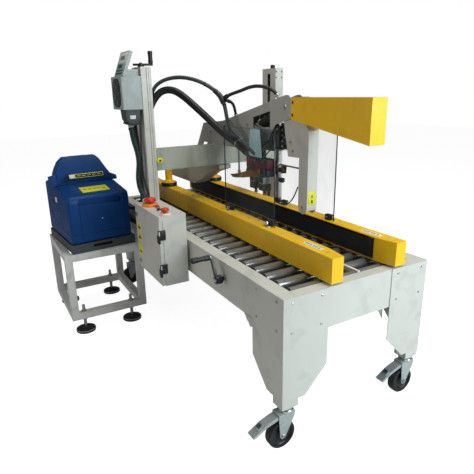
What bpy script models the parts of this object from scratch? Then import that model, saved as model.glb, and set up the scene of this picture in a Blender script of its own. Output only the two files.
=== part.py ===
"""Flap-folding carton sealer with side belts and a hot-melt glue unit.

Units are metres and +Z is up. Shapes are laid out from the bed's corner: x = 0 is the infeed
end and x grows negative towards the outfeed, y = 0 is the operator's side, and the floor is at
z = FLOOR. The empty called layout carries everything, so that the world's origin lies on the
floor under the middle of the machine. Each piece is an object of its own, and a piece that
moves has its origin on its joint's axis.
"""
import math

import bmesh
import bpy
import numpy as np
from mathutils import Matrix, Vector

# Driving dimensions of the bed.
BED_LENGTH = 1.945
BED_WIDTH = 0.740
BED_TOP = 0.650
BED_BOTTOM = 0.485
CENTRE_Y = 0.406
SHEET = 0.003
GAP = 0.0003
FLANGE = 0.060
FLOOR = 0.015
LAYOUT_SHIFT = (0.9725, -0.15025, -FLOOR)

# Rollers.
ROLLER_RADIUS = 0.021
ROLLER_PITCH = 0.0807
ROLLER_FIRST = 0.073
ROLLER_COUNT = 23
ROLLER_AXIS_Z = 0.631

# Legs and casters.
LEG_WIDTH = 0.207
LEG_KNEE_Z = 0.334
LEG_FOOT_Z = 0.228
LEG_FOOT_WIDTH = 0.105
STUB_BOTTOM = 0.1955
STUB_X, STUB_Y = 0.064, 0.075
WHEEL_RADIUS = 0.0600
WHEEL_HALF_WIDTH = 0.017
AXLE_Z = FLOOR + WHEEL_RADIUS
CASTER_TRAIL = 0.024

# Columns, lead screws and the lifting head.
COLUMN_X = (-1.278, -1.140)
COLUMN_Y = (-0.0605, -0.0070)
COLUMN_BOTTOM, COLUMN_TOP = 0.450, 1.467
COLUMN_WALL = 0.004
SCREW_X, SCREW_Y = -1.209, -0.034
SCREW_RADIUS = 0.009
SLOT_HALF = 0.015
BEAM_Z = (0.946, 1.056)
BEAM_X = (-1.225, -1.140)
PLATE_NEAR = (0.372, 0.375)
PLATE_FAR = (0.437, 0.440)
BOOM_Y = (0.369, 0.443)
BOOM_SHEET = 0.0025
KICKER_PIVOT = (-0.521, CENTRE_Y, 1.272)
KICKER_Y = (0.379, 0.433)

# Side-belt rails, given for the operator's side; the far rail mirrors them about CENTRE_Y.
RAIL_OUTER_Y = 0.213
RAIL_INNER_Y = 0.284
RAIL_TIP_Y = 0.268
RAIL_Z = (0.659, 0.759)
RAIL_END = -1.940
NOSE_START = -0.097
RAIL_WALL = 0.004
BELT_Y = (0.240, 0.2865)
BELT_Z = (0.668, 0.748)
BELT_THICKNESS = 0.004
PULLEY_X = (-1.8968, -0.1315)
CARRIAGE_X = (-1.4853, -0.4361)
SHAFT_Z = 0.578
SHAFT_RADIUS = 0.010

# Electrical cabinet.
CABINET_X = (-1.1385, -0.790)
CABINET_Y = (-0.147, -0.010)
CABINET_Z = (0.440, 0.790)
DOOR_AXIS = (-0.788, -0.1505, 0.610)

# Glue unit and its stand.
STAND_X = (-1.860, -1.354)
STAND_Y = (-0.500, -0.060)
STAND_Z = (0.095, 0.490)
TUBE = 0.040
TANK_X = (-1.850, -1.381)
TANK_Y = (-0.448, -0.100)
TANK_TURN = math.radians(5)  # the unit stands a little askew on its stand
TANK_TURN_ABOUT = (-1.381, -0.270)
LID_HINGE = (-1.846, -0.280, 0.852)

# Hose routes, each through points chosen by hand.
MELT_HOSE_DIAMETER = 0.040
MELT_HOSE = [
    (-1.868, -0.320, 0.580), (-1.902, -0.265, 0.580), (-1.915, -0.200, 0.580),
    (-1.902, -0.135, 0.580), (-1.865, -0.080, 0.580), (-1.810, -0.043, 0.580),
    (-1.745, -0.031, 0.580), (-1.630, -0.031, 0.580), (-1.510, -0.031, 0.585),
    (-1.408, -0.031, 0.632), (-1.355, -0.029, 0.735), (-1.347, -0.014, 0.860),
    (-1.354, 0.001, 0.985), (-1.364, 0.014, 1.110), (-1.364, 0.038, 1.220),
    (-1.352, 0.076, 1.304), (-1.328, 0.120, 1.350), (-1.294, 0.167, 1.353),
    (-1.255, 0.210, 1.322), (-1.200, 0.252, 1.269), (-1.120, 0.297, 1.199),
    (-1.025, 0.325, 1.137), (-0.905, 0.346, 1.087), (-0.803, 0.3505, 1.050),
]
AIR_HOSE_DIAMETER = 0.021
AIR_HOSE = [
    (-1.8720, -0.2000, 0.660), (-1.893, -0.155, 0.660), (-1.888, -0.098, 0.660),
    (-1.854, -0.058, 0.660), (-1.795, -0.046, 0.660), (-1.685, -0.046, 0.660),
    (-1.575, -0.045, 0.661), (-1.475, -0.037, 0.684), (-1.407, -0.014, 0.750),
    (-1.386, 0.018, 0.845), (-1.384, 0.038, 0.955), (-1.388, 0.048, 1.070),
    (-1.392, 0.056, 1.190), (-1.386, 0.070, 1.300), (-1.360, 0.088, 1.370),
    (-1.318, 0.122, 1.404), (-1.262, 0.161, 1.418), (-1.190, 0.206, 1.415),
    (-1.118, 0.252, 1.393), (-1.050, 0.286, 1.358), (-1.001, 0.307, 1.319),
    (-0.972, 0.315, 1.272), (-0.961, 0.319, 1.224), (-0.947, 0.325, 1.178),
    (-0.905, 0.331, 1.142), (-0.845, 0.335, 1.110), (-0.785, 0.338, 1.0825),
]
VALVE_LINE_DIAMETER = 0.017
VALVE_LINE = [
    (-0.970, 0.3165, 1.3120), (-0.916, 0.325, 1.3290), (-0.864, 0.345, 1.343),
    (-0.806, 0.361, 1.3585), (-0.748, 0.376, 1.3635), (-0.694, 0.390, 1.3560),
    (-0.650, 0.400, 1.3390), (-0.620, 0.406, 1.3140),
]
SENSOR_LINE_DIAMETER = 0.015
SENSOR_LINE = [
    (-0.971, 0.3340, 1.2960), (-0.972, 0.352, 1.2900), (-0.984, 0.376, 1.2700),
    (-1.003, 0.395, 1.2420), (-1.008, 0.403, 1.2200),
]
LOOM_DIAMETER = 0.030
LOOM = [
    (-1.200, -0.1120, 1.1720), (-1.192, -0.107, 1.110), (-1.180, -0.095, 1.040),
    (-1.179, -0.094, 0.975), (-1.188, -0.099, 0.910), (-1.176, -0.097, 0.855),
    (-1.145, -0.094, 0.824), (-1.1265, -0.092, 0.8045),
]
HOSE_SPACING = 0.042  # between the points of a tube

PARTS = "carton_sealer"
CUTTERS = "cutters"


# ---------------------------------------------------------------- scene and materials

def clear_scene():
    for old in list(bpy.data.objects):
        bpy.data.objects.remove(old, do_unlink=True)
    for old in list(bpy.data.collections):
        bpy.data.collections.remove(old)


def make_collection(name):
    made = bpy.data.collections.new(name)
    bpy.context.scene.collection.children.link(made)
    return made


def make_material(name, colour, roughness, metallic=0.0, alpha=1.0):
    material = bpy.data.materials.new(name)
    material.use_nodes = True
    shader = material.node_tree.nodes["Principled BSDF"]
    shader.inputs["Base Color"].default_value = (*colour, 1.0)
    shader.inputs["Roughness"].default_value = roughness
    shader.inputs["Metallic"].default_value = metallic
    shader.inputs["Alpha"].default_value = alpha
    material.diffuse_color = (*colour, alpha)
    return material


def make_materials():
    return {
        "beige_paint": make_material("beige_paint", (0.72, 0.72, 0.68), 0.45),
        "grey_paint": make_material("grey_paint", (0.55, 0.55, 0.51), 0.45),
        "yellow_paint": make_material("yellow_paint", (0.85, 0.55, 0.02), 0.4),
        "blue_plastic": make_material("blue_plastic", (0.01, 0.05, 0.24), 0.4),
        "dark_plastic": make_material("dark_plastic", (0.09, 0.10, 0.11), 0.5),
        "black_rubber": make_material("black_rubber", (0.02, 0.02, 0.025), 0.7),
        "red_plastic": make_material("red_plastic", (0.75, 0.06, 0.02), 0.35),
        "copper_plate": make_material("copper_plate", (0.55, 0.24, 0.07), 0.4, 0.6),
        "steel": make_material("steel", (0.62, 0.62, 0.62), 0.3, 1.0),
        "chrome": make_material("chrome", (0.80, 0.80, 0.82), 0.12, 1.0),
        "clear_sheet": make_material("clear_sheet", (0.75, 0.85, 0.88), 0.08, 0.0, 0.3),
    }


# ---------------------------------------------------------------- shapes

def new_object(name, mesh):
    """A helper shape in layout coordinates. finish() makes it a part, and hide() a cutter."""
    made = bpy.data.objects.new(name, mesh)
    SCENE["cutters"].objects.link(made)
    made.parent = SCENE["carrier"]
    return made


def box(name, low, high):
    low, high = Vector(low), Vector(high)
    shape = bmesh.new()
    bmesh.ops.create_cube(shape, size=1.0)
    bmesh.ops.transform(
        shape,
        matrix=Matrix.Translation((low + high) / 2) @ Matrix.Diagonal((*(high - low), 1.0)),
        verts=shape.verts,
    )
    mesh = bpy.data.meshes.new(name)
    shape.to_mesh(mesh)
    shape.free()
    return new_object(name, mesh)


def rod(name, start, end, radius, sides=16):
    """A round bar from start to end."""
    start, end = Vector(start), Vector(end)
    turn = (end - start).to_track_quat("Z", "Y").to_matrix().to_4x4()
    shape = bmesh.new()
    bmesh.ops.create_cone(
        shape, cap_ends=True, segments=sides, radius1=radius, radius2=radius,
        depth=(end - start).length,
    )
    bmesh.ops.transform(
        shape, matrix=Matrix.Translation((start + end) / 2) @ turn, verts=shape.verts
    )
    mesh = bpy.data.meshes.new(name)
    shape.to_mesh(mesh)
    shape.free()
    return new_object(name, mesh)


def plate(name, outline, low, high, axis, holes=()):
    """A flat outline pushed from low to high along an axis; holes are further outlines.

    The outline's two numbers are (x, y) for axis z, (x, z) for axis y and (y, z) for axis x.
    """
    curve = bpy.data.curves.new(name, "CURVE")
    curve.dimensions = "2D"
    curve.fill_mode = "BOTH"
    curve.extrude = (high - low) / 2
    for points in (outline, *holes):
        spline = curve.splines.new("POLY")
        spline.points.add(len(points) - 1)
        for point, (across, up) in zip(spline.points, points):
            point.co = (across, up, 0.0, 1.0)
        spline.use_cyclic_u = True
    flat = bpy.data.objects.new(name, curve)
    SCENE["cutters"].objects.link(flat)
    graph = bpy.context.evaluated_depsgraph_get()
    mesh = bpy.data.meshes.new_from_object(flat.evaluated_get(graph))
    bpy.data.objects.remove(flat, do_unlink=True)
    middle = (low + high) / 2
    turns = {
        "z": Matrix(((1, 0, 0, 0), (0, 1, 0, 0), (0, 0, 1, middle), (0, 0, 0, 1))),
        "y": Matrix(((1, 0, 0, 0), (0, 0, -1, middle), (0, 1, 0, 0), (0, 0, 0, 1))),
        "x": Matrix(((0, 0, 1, middle), (1, 0, 0, 0), (0, 1, 0, 0), (0, 0, 0, 1))),
    }
    shape = bmesh.new()
    shape.from_mesh(mesh)
    bmesh.ops.remove_doubles(shape, verts=shape.verts, dist=1e-5)
    bmesh.ops.transform(shape, matrix=turns[axis], verts=shape.verts)
    bmesh.ops.recalc_face_normals(shape, faces=shape.faces)
    shape.to_mesh(mesh)
    shape.free()
    mesh.shade_flat()
    return new_object(name, mesh)


def arc(centre, radius, start, end, steps=6):
    """Points of a round stretch, from one angle to another, in degrees."""
    angles = np.radians(np.linspace(start, end, steps + 1))
    return [
        (centre[0] + radius * math.cos(a), centre[1] + radius * math.sin(a)) for a in angles
    ]


def turned(name, profile, steps, closed=False):
    """A Screw of (radius, height) points about its own Z. The profile runs down its outer side."""
    mesh = bpy.data.meshes.new(name)
    edges = [(i, i + 1) for i in range(len(profile) - 1)]
    if closed:
        edges.append((len(profile) - 1, 0))
    mesh.from_pydata([(radius, 0.0, height) for radius, height in profile], edges, [])
    made = new_object(name, mesh)
    screw = made.modifiers.new("Turn", "SCREW")
    screw.steps = steps
    screw.render_steps = steps
    screw.use_merge_vertices = True
    screw.merge_threshold = 0.00001
    return made


def smooth_route(points):
    """Evenly spaced points on the natural cubic spline through the route's points."""
    points = np.array(points, float)
    chords = np.linalg.norm(np.diff(points, axis=0), axis=1)
    knots = np.concatenate([[0.0], np.cumsum(chords)])
    count = len(points)
    system = np.zeros((count, count))
    right = np.zeros((count, 3))
    system[0, 0] = system[-1, -1] = 1.0
    for i in range(1, count - 1):
        before, after = chords[i - 1], chords[i]
        system[i, i - 1 : i + 2] = before, 2 * (before + after), after
        slope_after = (points[i + 1] - points[i]) / after
        slope_before = (points[i] - points[i - 1]) / before
        right[i] = 6 * (slope_after - slope_before)
    bend = np.linalg.solve(system, right)
    samples = max(2, round(knots[-1] / HOSE_SPACING)) + 1
    route = []
    for at in np.linspace(0.0, knots[-1], samples):
        i = min(int(np.searchsorted(knots, at, side="right")) - 1, count - 2)
        span = chords[i]
        left, rest = (knots[i + 1] - at) / span, (at - knots[i]) / span
        route.append(
            left * points[i] + rest * points[i + 1]
            + ((left**3 - left) * bend[i] + (rest**3 - rest) * bend[i + 1]) * span**2 / 6
        )
    return route


def tube(name, route, diameter):
    """A hose: a bevelled curve with filled caps along a smooth route."""
    curve = bpy.data.curves.new(name, "CURVE")
    curve.dimensions = "3D"
    curve.bevel_depth = diameter / 2
    curve.bevel_resolution = 2
    curve.use_fill_caps = True
    points = smooth_route(route)
    spline = curve.splines.new("POLY")
    spline.points.add(len(points) - 1)
    for point, place in zip(spline.points, points):
        point.co = (*place, 1.0)
    return new_object(name, curve)


def socket(name, route, last, length, radius):
    """A round socket in line with one end of a hose, 0.5 mm off it."""
    points = [Vector(point) for point in smooth_route(route)]
    end, before = (points[-1], points[-2]) if last else (points[0], points[1])
    outward = (end - before).normalized()
    return rod(name, end + outward * 0.0005, end + outward * length, radius)


def hide(helper):
    helper.hide_render = True
    helper.display_type = "WIRE"


def combine(base, others, operation):
    for other in others:
        hide(other)
        boolean = base.modifiers.new(other.name, "BOOLEAN")
        boolean.operation = operation
        boolean.solver = "EXACT"
        boolean.object = other
    return base


def join(base, *others):
    return combine(base, others, "UNION")


def cut(base, *others):
    return combine(base, others, "DIFFERENCE")


def finish(made, name, material, pivot=(0.0, 0.0, 0.0), round_piece=False):
    """Makes a shape a part: its name, its material, and its origin at the pivot."""
    made.name = name
    made.data.name = name
    if made.location.length == 0.0 and made.rotation_euler.to_matrix() == Matrix.Identity(3):
        made.data.transform(Matrix.Translation(-Vector(pivot)))
        made.location = pivot
    made.data.materials.clear()
    made.data.materials.append(SCENE["materials"][material])
    if round_piece and made.type == "MESH":
        made.data.shade_smooth()
        made.data.set_sharp_from_angle(angle=math.radians(35))
    SCENE["cutters"].objects.unlink(made)
    SCENE["parts"].objects.link(made)
    return made


def rectangle(x_range, y_range, inset_x=0.0, inset_y=0.0):
    return [
        (x_range[0] + inset_x, y_range[0] + inset_y),
        (x_range[1] - inset_x, y_range[0] + inset_y),
        (x_range[1] - inset_x, y_range[1] - inset_y),
        (x_range[0] + inset_x, y_range[1] - inset_y),
    ]


def mirrored(points, about):
    """(x, y) points mirrored across the line y = about, kept in turning order."""
    return [(x, 2 * about - y) for x, y in reversed(points)]


# ---------------------------------------------------------------- bed

def build_bed():
    """Folded side and end panels with flanges, two cross members and the fixed guide shaft."""
    x_range = (-BED_LENGTH + SHEET + GAP, -SHEET - GAP)
    y_range = (SHEET + GAP, BED_WIDTH - SHEET - GAP)
    outside = rectangle(x_range, y_range)
    frame = plate(
        "bed_walls", outside, BED_BOTTOM, BED_TOP, "z",
        [rectangle(x_range, y_range, SHEET, SHEET)],
    )
    top = plate(
        "bed_top_flange", outside, BED_TOP - SHEET, BED_TOP, "z",
        [rectangle(x_range, y_range, 0.050, FLANGE)],
    )
    bottom = plate(
        "bed_bottom_flange", outside, BED_BOTTOM, BED_BOTTOM + SHEET, "z",
        [rectangle(x_range, y_range, 0.025, 0.025)],
    )
    inside_y = (y_range[0] + SHEET / 2, y_range[1] - SHEET / 2)
    members = [
        box(f"cross_member_{n}", (x, inside_y[0], 0.4865), (x + 0.040, inside_y[1], 0.530))
        for n, x in enumerate((-1.272, -0.700))
    ]
    shaft = rod(
        "guide_shaft",
        (CARRIAGE_X[0], inside_y[0], SHAFT_Z), (CARRIAGE_X[0], inside_y[1], SHAFT_Z),
        SHAFT_RADIUS, 12,
    )
    join(frame, top, bottom, *members, shaft)
    cut(frame, rod(
        "width_shaft_holes",
        (CARRIAGE_X[1], -0.02, SHAFT_Z), (CARRIAGE_X[1], BED_WIDTH + 0.02, SHAFT_Z),
        0.0125, 12,
    ))
    finish(frame, "bed_frame", "beige_paint")


def build_rollers():
    """The roller rows, held by a bar at each end and by the strip along the middle."""
    ends = (0.066, BED_WIDTH - 0.066)
    rollers = rod(
        "rollers",
        (-ROLLER_FIRST, ends[0], ROLLER_AXIS_Z), (-ROLLER_FIRST, ends[1], ROLLER_AXIS_Z),
        ROLLER_RADIUS, 10,
    )
    array = rollers.modifiers.new("Rows", "ARRAY")
    array.count = ROLLER_COUNT
    array.use_relative_offset = False
    array.use_constant_offset = True
    array.constant_offset_displace = (-ROLLER_PITCH, 0.0, 0.0)
    bar_x = (-BED_LENGTH + 0.056, -0.056)
    bars = [
        box("roller_bar_near", (bar_x[0], 0.064, 0.612), (bar_x[1], 0.068, 0.645)),
        box("roller_bar_far", (bar_x[0], BED_WIDTH - 0.068, 0.612),
            (bar_x[1], BED_WIDTH - 0.064, 0.645)),
        box("roller_strip", (bar_x[0], CENTRE_Y - 0.006, 0.628), (bar_x[1], CENTRE_Y + 0.006, 0.6535)),
    ]
    join(rollers, *bars)
    finish(rollers, "roller_bed", "chrome")


# ---------------------------------------------------------------- legs and casters

CORNERS = {
    "infeed_near": (0.0, 0.0, -1, 1),
    "infeed_far": (0.0, BED_WIDTH, -1, -1),
    "outfeed_near": (-BED_LENGTH, 0.0, 1, 1),
    "outfeed_far": (-BED_LENGTH, BED_WIDTH, 1, -1),
}


def span(first, second):
    return (min(first, second), max(first, second))


def leg_outline(start, direction):
    """One face of a leg: straight to the knee, then narrowing to the foot."""
    points = [
        (0.0, BED_TOP), (LEG_WIDTH, BED_TOP), (LEG_WIDTH, LEG_KNEE_Z),
        (LEG_FOOT_WIDTH, LEG_FOOT_Z), (0.0, LEG_FOOT_Z),
    ]
    return [(start + direction * along, z) for along, z in points]


def build_leg(corner):
    """Two folded faces round a square stub that takes the caster."""
    x, y, inward_x, inward_y = CORNERS[corner]
    end_x = span(x, x + inward_x * SHEET)
    end_face = plate(f"leg_end_{corner}", leg_outline(y, inward_y), *end_x, "x")
    side_y = span(y, y + inward_y * SHEET)
    side_face = plate(f"leg_side_{corner}", leg_outline(x, inward_x), *side_y, "y")
    stub_x = span(x + inward_x * 0.001, x + inward_x * STUB_X)
    stub_y = span(y + inward_y * 0.001, y + inward_y * STUB_Y)
    stub = box(
        f"leg_stub_{corner}", (stub_x[0], stub_y[0], STUB_BOTTOM), (stub_x[1], stub_y[1], 0.300)
    )
    join(end_face, side_face, stub)
    finish(end_face, f"leg_{corner}", "beige_paint")


def caster_centre(corner):
    x, y, inward_x, inward_y = CORNERS[corner]
    return (x + inward_x * STUB_X / 2, y + inward_y * STUB_Y / 2)


def build_caster(corner, has_brake):
    """A swivel fork trailing towards the operator's side, its wheel and its brake pedal."""
    x, y = caster_centre(corner)
    axle_y = y - CASTER_TRAIL
    fork = rod(f"fork_head_{corner}", (x, y, 0.168), (x, y, STUB_BOTTOM - GAP), 0.028, 20)
    crown = box(f"fork_crown_{corner}", (x - 0.0235, y - 0.044, 0.160), (x + 0.0235, y + 0.030, 0.172))
    cheek = (
        [(y + 0.028, 0.170), (y - 0.042, 0.170), (y - 0.044, 0.152)]
        + arc((axle_y, AXLE_Z), 0.014, 180, 360)
        + [(y + 0.028, 0.150)]
    )
    cheeks = [
        plate(f"fork_cheek_{corner}_{side}", cheek, *span(x + side * 0.0205, x + side * 0.0235), "x")
        for side in (-1, 1)
    ]
    axle = rod(
        f"fork_axle_{corner}", (x - 0.026, axle_y, AXLE_Z), (x + 0.026, axle_y, AXLE_Z), 0.006, 12,
    )
    join(fork, crown, *cheeks, axle)
    finish(fork, f"caster_fork_{corner}", "chrome", (x, y, STUB_BOTTOM), True)

    half = WHEEL_HALF_WIDTH
    profile = [
        (0.0063, half), (0.020, half), (0.022, half - 0.004), (0.046, half - 0.004),
        (0.048, half), (0.058, half), (WHEEL_RADIUS, half - 0.005),
        (WHEEL_RADIUS, -half + 0.005), (0.058, -half), (0.048, -half),
        (0.046, -half + 0.004), (0.022, -half + 0.004), (0.020, -half), (0.0063, -half),
    ]
    wheel = turned(f"wheel_{corner}", profile, 24, closed=True)
    wheel.location = (x, axle_y, AXLE_Z)
    wheel.rotation_euler = (0.0, math.radians(90), 0.0)
    finish(wheel, f"caster_wheel_{corner}", "black_rubber", round_piece=True)

    if has_brake:
        outline = [
            (y - 0.0450, 0.165), (y - 0.0450, 0.151), (y - 0.098, 0.137), (y - 0.148, 0.113),
            (y - 0.156, 0.113), (y - 0.158, 0.119), (y - 0.104, 0.149), (y - 0.068, 0.161),
        ]
        pedal = plate(f"pedal_{corner}", outline, x - 0.0195, x + 0.0195, "x")
        finish(pedal, f"brake_pedal_{corner}", "steel", (x, y - 0.048, 0.158))


# ---------------------------------------------------------------- columns and lifting drive

def build_column(name, far):
    """A C-section column, open on the side that faces the bed, with end plates and two pads."""
    x0, x1 = COLUMN_X
    y0, y1 = COLUMN_Y
    wall = COLUMN_WALL
    section = [
        (SCREW_X + SLOT_HALF, y1), (x1, y1), (x1, y0), (x0, y0), (x0, y1),
        (SCREW_X - SLOT_HALF, y1), (SCREW_X - SLOT_HALF, y1 - wall), (x0 + wall, y1 - wall),
        (x0 + wall, y0 + wall), (x1 - wall, y0 + wall), (x1 - wall, y1 - wall),
        (SCREW_X + SLOT_HALF, y1 - wall),
    ]
    full = rectangle(COLUMN_X, COLUMN_Y)
    pads = [rectangle((-1.270, -1.232), (y1 - 0.001, SHEET)), rectangle((-1.186, -1.148), (y1 - 0.001, SHEET))]
    screw_y = SCREW_Y
    if far:
        about = BED_WIDTH / 2
        section, full = mirrored(section, about), mirrored(full, about)
        pads = [mirrored(pad, about) for pad in pads]
        screw_y = BED_WIDTH - SCREW_Y
    column = plate(f"{name}_section", section, COLUMN_BOTTOM, COLUMN_TOP, "z")
    cap = plate(f"{name}_cap", full, 1.437, COLUMN_TOP, "z")
    base = plate(f"{name}_base", full, COLUMN_BOTTOM, COLUMN_BOTTOM + 0.008, "z")
    feet = [plate(f"{name}_pad_{n}", pad, 0.495, 0.640, "z") for n, pad in enumerate(pads)]
    join(column, cap, base, *feet)
    cut(column, rod(
        f"{name}_bearing", (SCREW_X, screw_y, 1.40), (SCREW_X, screw_y, 1.50), SCREW_RADIUS - 0.0005, 12
    ))
    finish(column, name, "beige_paint")


def build_lift_drive():
    """The operator's screw with its crank, the loose grip, and the far screw with its knob."""
    arm_end = (-1.1953, 0.0141)
    arm_tail = (-1.218, -0.072)
    hub_z = COLUMN_TOP + 0.0008
    arm_z = (1.475, 1.484)
    screw = rod("lift_screw_core", (SCREW_X, SCREW_Y, 0.4585), (SCREW_X, SCREW_Y, 1.4365), SCREW_RADIUS, 12)
    journal = rod("lift_screw_journal", (SCREW_X, SCREW_Y, 1.430), (SCREW_X, SCREW_Y, 1.478), 0.008, 12)
    hub = rod("lift_hub", (SCREW_X, SCREW_Y, hub_z), (SCREW_X, SCREW_Y, arm_z[1]), 0.016, 16)
    along = Vector((arm_end[0] - arm_tail[0], arm_end[1] - arm_tail[1])).normalized()
    side = Vector((-along.y, along.x)) * 0.009
    tail, end = Vector(arm_tail), Vector(arm_end) + along * 0.010
    bar = [tuple(tail + side), tuple(tail - side), tuple(end - side), tuple(end + side)]
    arm = plate("lift_arm", bar, *arm_z, "z")
    post = rod("lift_post", (*arm_end, 1.480), (*arm_end, 1.5425), 0.004, 12)
    join(screw, journal, hub, arm, post)
    finish(screw, "lift_crank", "steel", (SCREW_X, SCREW_Y, 1.480))

    grip = turned(
        "lift_grip",
        [(0.0045, 1.5445), (0.009, 1.5445), (0.0125, 1.540), (0.0115, 1.492), (0.010, 1.4845),
         (0.0045, 1.4845)],
        16, closed=True,
    )
    grip.location = (*arm_end, 0.0)
    finish(grip, "lift_crank_grip", "black_rubber", round_piece=True)

    far_y = BED_WIDTH - SCREW_Y
    screw = rod("far_screw_core", (SCREW_X, far_y, 0.4585), (SCREW_X, far_y, 1.4365), SCREW_RADIUS, 12)
    journal = rod("far_screw_journal", (SCREW_X, far_y, 1.430), (SCREW_X, far_y, 1.470), 0.008, 12)
    knob = rod("far_screw_knob", (SCREW_X, far_y, hub_z), (SCREW_X, far_y, 1.487), 0.0105, 12)
    join(screw, journal, knob)
    finish(screw, "lead_screw_far", "steel", (SCREW_X, far_y, 1.480))


# ---------------------------------------------------------------- lifting head

def build_beam():
    """A C-section cross beam whose necks reach through the slots to the nuts on the screws."""
    x0, x1 = BEAM_X
    z0, z1 = BEAM_Z
    wall = 0.004
    section = [
        (x1, z0), (x1, z1), (x0, z1), (x0, z1 - wall), (x1 - wall, z1 - wall),
        (x1 - wall, z0 + wall), (x0, z0 + wall), (x0, z0),
    ]
    beam = plate("beam_section", section, -0.004, BED_WIDTH + 0.004, "y")
    for side in (0, 1):
        def place(first, second):
            return span(*(BED_WIDTH - v for v in (first, second))) if side else span(first, second)

        end_y = place(-0.004, 0.004)
        neck_y = place(-0.020, 0.002)
        nut_y = place(-0.0525, -0.0155)
        screw_y = place(SCREW_Y, SCREW_Y)[0]
        end = box(f"beam_end_{side}", (x0, end_y[0], z0 + 0.001), (x1 - 0.002, end_y[1], z1 - 0.001))
        neck = box(
            f"beam_neck_{side}", (SCREW_X - 0.011, neck_y[0], z0 + 0.009),
            (SCREW_X + 0.011, neck_y[1], z1 - 0.009),
        )
        nut = box(
            f"beam_nut_{side}", (SCREW_X - 0.053, nut_y[0], z0 + 0.014),
            (SCREW_X + 0.053, nut_y[1], z1 - 0.014),
        )
        join(beam, end, neck, nut)
        cut(beam, rod(f"beam_bore_{side}", (SCREW_X, screw_y, z0 - 0.02), (SCREW_X, screw_y, z1 + 0.02),
                      SCREW_RADIUS + 0.0015, 12))
    finish(beam, "cross_beam", "grey_paint")


def build_head_plates():
    """The pair of side plates, tied by spacers and by the kicker's pivot pin."""
    outline = [
        (-1.345, 1.168), (-1.432, 1.042), (-1.530, 0.930), (-1.420, 0.930), (-1.350, 1.0575),
        (-0.700, 1.0575), (-0.672, 1.105), (-0.594, 1.194), (-0.480, 1.224), (-0.400, 1.235),
        (-0.400, 1.309), (-0.482, 1.309), (-0.500, 1.3225), (-0.522, 1.3225), (-1.100, 1.190),
    ]
    window = [(-0.789, 1.170), (-0.789, 1.219), (-0.640, 1.252), (-0.640, 1.180)]
    near = plate("plate_near", outline, *PLATE_NEAR, "y", [window])
    between = (PLATE_NEAR[1] - 0.001, PLATE_FAR[0] - GAP)

    def tie(name, x, z, radius):
        return rod(name, (x, between[0], z), (x, between[1], z), radius, 12)

    gland_block = box("gland_block", (-0.640, between[0], 1.262), (-0.600, between[1], 1.2905))
    join(
        near, tie("spacer_rear", -1.250, 1.120, 0.010), tie("spacer_middle", -0.880, 1.150, 0.010),
        tie("kicker_pin", KICKER_PIVOT[0], KICKER_PIVOT[2], 0.008), gland_block,
        socket("valve_gland", VALVE_LINE, True, 0.030, 0.011),
        box("sensor_block", (-1.028, between[0], 1.165), (-0.988, between[1], 1.195)),
        socket("sensor_gland", SENSOR_LINE, True, 0.045, 0.010),
    )
    finish(near, "head_plate_near", "grey_paint")
    far = plate("plate_far", outline, *PLATE_FAR, "y", [window])
    finish(far, "head_plate_far", "grey_paint")


def build_boom():
    """A folded guard over the infeed, open underneath, where the kicker arm swings up into it."""
    top, left, right = 1.313, -0.475, -0.010
    outline = [(left, 1.221), (right, 1.1475), (right, top), (left, top)]
    boom = plate("boom_shell", outline, *BOOM_Y, "y")
    inner = [(left - 0.02, 1.10), (right - BOOM_SHEET, 1.10), (right - BOOM_SHEET, top - BOOM_SHEET),
             (left - 0.02, top - BOOM_SHEET)]
    cut(boom, plate("boom_hollow", inner, BOOM_Y[0] + BOOM_SHEET, BOOM_Y[1] - BOOM_SHEET, "y"))
    finish(boom, "boom", "yellow_paint")


def build_press_shoe():
    """The long trough that keeps the closed flaps down while the glue sets."""
    outline = [
        (-1.560, 0.960), (-1.900, 0.905), (-1.925, 0.880), (-1.925, 0.805), (-1.900, 0.780),
        (-1.505, 0.780), (-1.440, 0.803), (-1.275, 0.882), (-1.150, 0.918), (-1.150, 0.940),
        (-1.330, 0.940), (-1.380, 0.960),
    ]
    inner = [
        (-1.560, 1.050), (-1.922, 1.050), (-1.922, 0.8065), (-1.8985, 0.783), (-1.5055, 0.783),
        (-1.441, 0.8060), (-1.276, 0.8852), (-1.153, 0.9205), (-1.153, 1.050),
    ]
    side = (PLATE_NEAR[0] - GAP, PLATE_FAR[1] + GAP)
    shoe = plate("shoe_shell", outline, side[0] - SHEET, side[1] + SHEET, "y")
    cut(shoe, plate("shoe_hollow", inner, side[0], side[1], "y"))
    finish(shoe, "press_shoe", "grey_paint")


def build_kicker():
    """The arm that folds the trailing flap: a channel open to the rear, on a pin in the plates."""
    x, z = KICKER_PIVOT[0], KICKER_PIVOT[2]
    tip = (-0.393, 0.846)
    outline = (
        [(-0.362, 1.178)] + arc(tip, 0.031, 0, -180, 8)
        + [(-0.424, 1.060), (-0.505, 1.058), (-0.541, 1.215)] + arc((x, z), 0.030, 180, 60, 6)
        + [(-0.386, 1.206)]
    )
    arm = plate("kicker_shell", outline, *KICKER_Y, "y")
    inner = [
        (-0.365, 1.1765), (-0.365, 0.790), (-0.600, 0.790), (-0.600, 1.320), (x + 0.010, 1.320),
        (-0.3885, 1.2035),
    ]
    cut(
        arm, plate("kicker_hollow", inner, KICKER_Y[0] + SHEET, KICKER_Y[1] - SHEET, "y"),
        rod("kicker_bore", (x, 0.30, z), (x, 0.50, z), 0.0085, 12),
    )
    finish(arm, "kicker_arm", "grey_paint", KICKER_PIVOT)


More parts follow.
